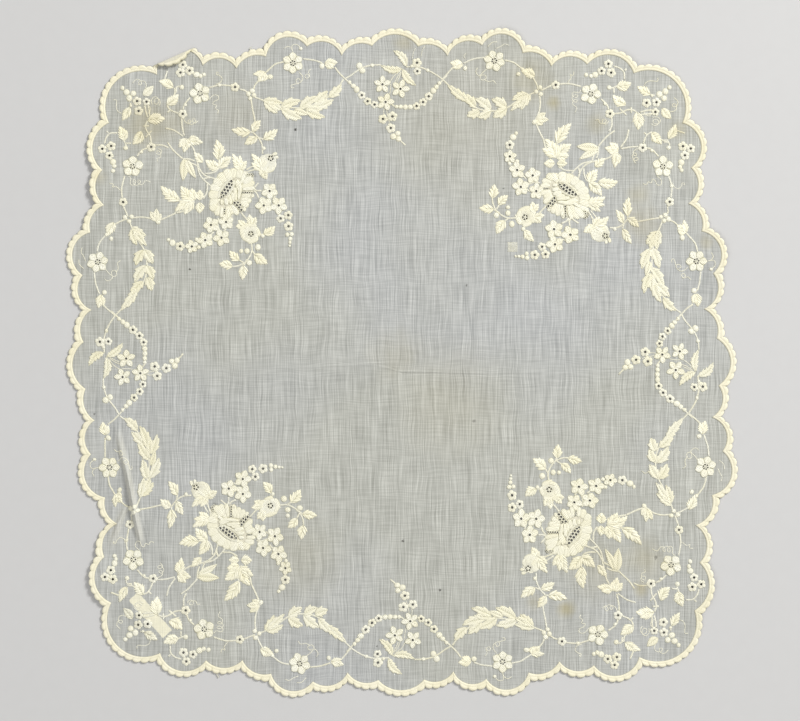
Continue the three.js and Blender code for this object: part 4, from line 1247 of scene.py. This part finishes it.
def make_ribbon(material):
    """The strip of ribbon behind the corner, its two ends folded under."""
    count, across = 33, 9
    u = np.linspace(-1, 1, count)[:, None] * STRIP_LENGTH / 2
    v = np.linspace(-1, 1, across)[None] * STRIP_WIDTH / 2
    along = np.array([math.cos(STRIP_TURN), math.sin(STRIP_TURN)])
    side = left_of(along)
    flat = to_mm(STRIP_MIDDLE) + u[..., None] * along + v[..., None] * side
    fold = np.clip((abs(u) - STRIP_LENGTH / 2 + 4) * 2, 0, 1)
    top = 0.8 + 0.18 * fold + 0 * v
    top = np.minimum(top, 0.55 + (STRIP_WIDTH / 2 - abs(v)) * 1.2)
    number = np.arange(count * across).reshape(count, across)
    faces = grid_faces(number, tube=False)
    below = [tuple(n + count * across for n in f[::-1]) for f in faces]
    ring = [*number[0, :-1], *number[:-1, -1], *number[-1, :0:-1], *number[:0:-1, 0]]
    walls = [(a, b, b + count * across, a + count * across) for a, b in zip(ring, ring[1:] + ring[:1])]
    points = np.concatenate([flat.reshape(-1, 2)] * 2)
    z = np.concatenate([top.ravel(), np.full(count * across, 0.02)])
    place = np.column_stack([points, z]) / 1000
    return make_object("ribbon_strip", place, faces + below + walls, {}, material, False)


def make_embroidery(material):
    """Four quarters of embroidery, and the holes that they leave in the lawn."""
    pieces, holes = [], []
    for quarter, name in enumerate(("top_left", "top_right", "bottom_right", "bottom_left")):
        work = quarter_chart(quarter)
        flat = to_mm(to_quarter(np.concatenate(work.points), quarter))
        place = lay(flat, np.concatenate(work.heights))
        pieces.append(make_object("embroidery_" + name, place, work.faces, work.layers(flat), material))
        hole_places = to_mm(to_quarter(np.array(work.holes)[:, :2], quarter))
        holes += [(*p, hole[2] * MM + 0.05) for p, hole in zip(hole_places, work.holes)]
    return pieces, holes


def make_mending(material):
    """A darned square, and threads that have worked loose from the edge."""
    work = Needlework(9)
    left, right, top, bottom = DARN_ENDS
    for k in range(DARN_THREADS):
        across = DARN_START[0] + k * DARN_STEP
        down = DARN_START[1] + k * DARN_STEP
        work.cord([(across, top), (across + 0.3, 247), (across, bottom)], DARN_WIDTH, 0.28)
        work.cord([(left, down), (512, down + 0.2), (right, down)], DARN_WIDTH, 0.3)
    # The darn's painted shade is kept faint
    work.deep = [0.2 * block for block in work.deep]
    for line in LOOSE_THREADS:
        work.cord(line, 0.7, 0.5)
    flat = to_mm(np.concatenate(work.points))
    place = lay(flat, np.concatenate(work.heights))
    return make_object("mending", place, work.faces, work.layers(flat), material)


def make_stage():
    corners = [(x * FLOOR_REACH, y * FLOOR_REACH, 0) for x, y in ((-1, -1), (1, -1), (1, 1), (-1, 1))]
    mesh = bpy.data.meshes.new("floor")
    mesh.from_pydata(corners, [], [(0, 1, 2, 3)])
    mesh.materials.append(floor_material())
    floor = new_object("floor", mesh)
    for name, place, size, power in LAMPS:
        light = bpy.data.lights.new(name, "AREA")
        light.size = size
        light.energy = power
        lamp = new_object(name, light)
        lamp.location = place
        x, y, z = place
        lamp.rotation_euler = (math.atan2(math.hypot(x, y), z), 0, math.atan2(x, -y))
    world = bpy.data.worlds.new("studio")
    world.use_nodes = True
    sky = world.node_tree.nodes["Background"].inputs
    sky["Color"].default_value = (1, 1, 1, 1)
    sky["Strength"].default_value = SKY_STRENGTH
    bpy.context.scene.world = world
    bpy.context.scene.view_settings.view_transform = "Standard"


def make_camera():
    camera = bpy.data.cameras.new("camera")
    camera.lens = LENS
    camera.sensor_width = SENSOR_WIDTH
    view = new_object("camera", camera)
    across = WIDTH * MM / 1000
    x, y = to_mm((WIDTH / 2, HEIGHT / 2)) / 1000
    view.location = (x, y, across * LENS / SENSOR_WIDTH)
    camera.clip_end = 50
    bpy.context.scene.camera = view


make_camera()
make_stage()
thread = thread_material("thread", THREAD_LIGHT, THREAD_DEEP, THREAD_PITCH, THREAD_GROOVE_SHADE)
edge_thread = thread_material("edge_thread", EDGE_LIGHT, EDGE_DEEP, EDGE_PITCH, EDGE_GROOVE_SHADE)
embroidery, holes = make_embroidery(thread)
mending = make_mending(thread)
edge = make_edge(edge_thread)
lawn, lawn_area = make_lawn(holes, lawn_material())
ribbon = make_ribbon(ribbon_material())

for piece in [lawn, edge, mending, *embroidery]:
    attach(piece, "root")
    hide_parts("cloth")
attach(ribbon, "root")
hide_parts("backing_strip")
lawn_size = (np.ptp(edge_sections(3)[0], axis=0)) / 1000
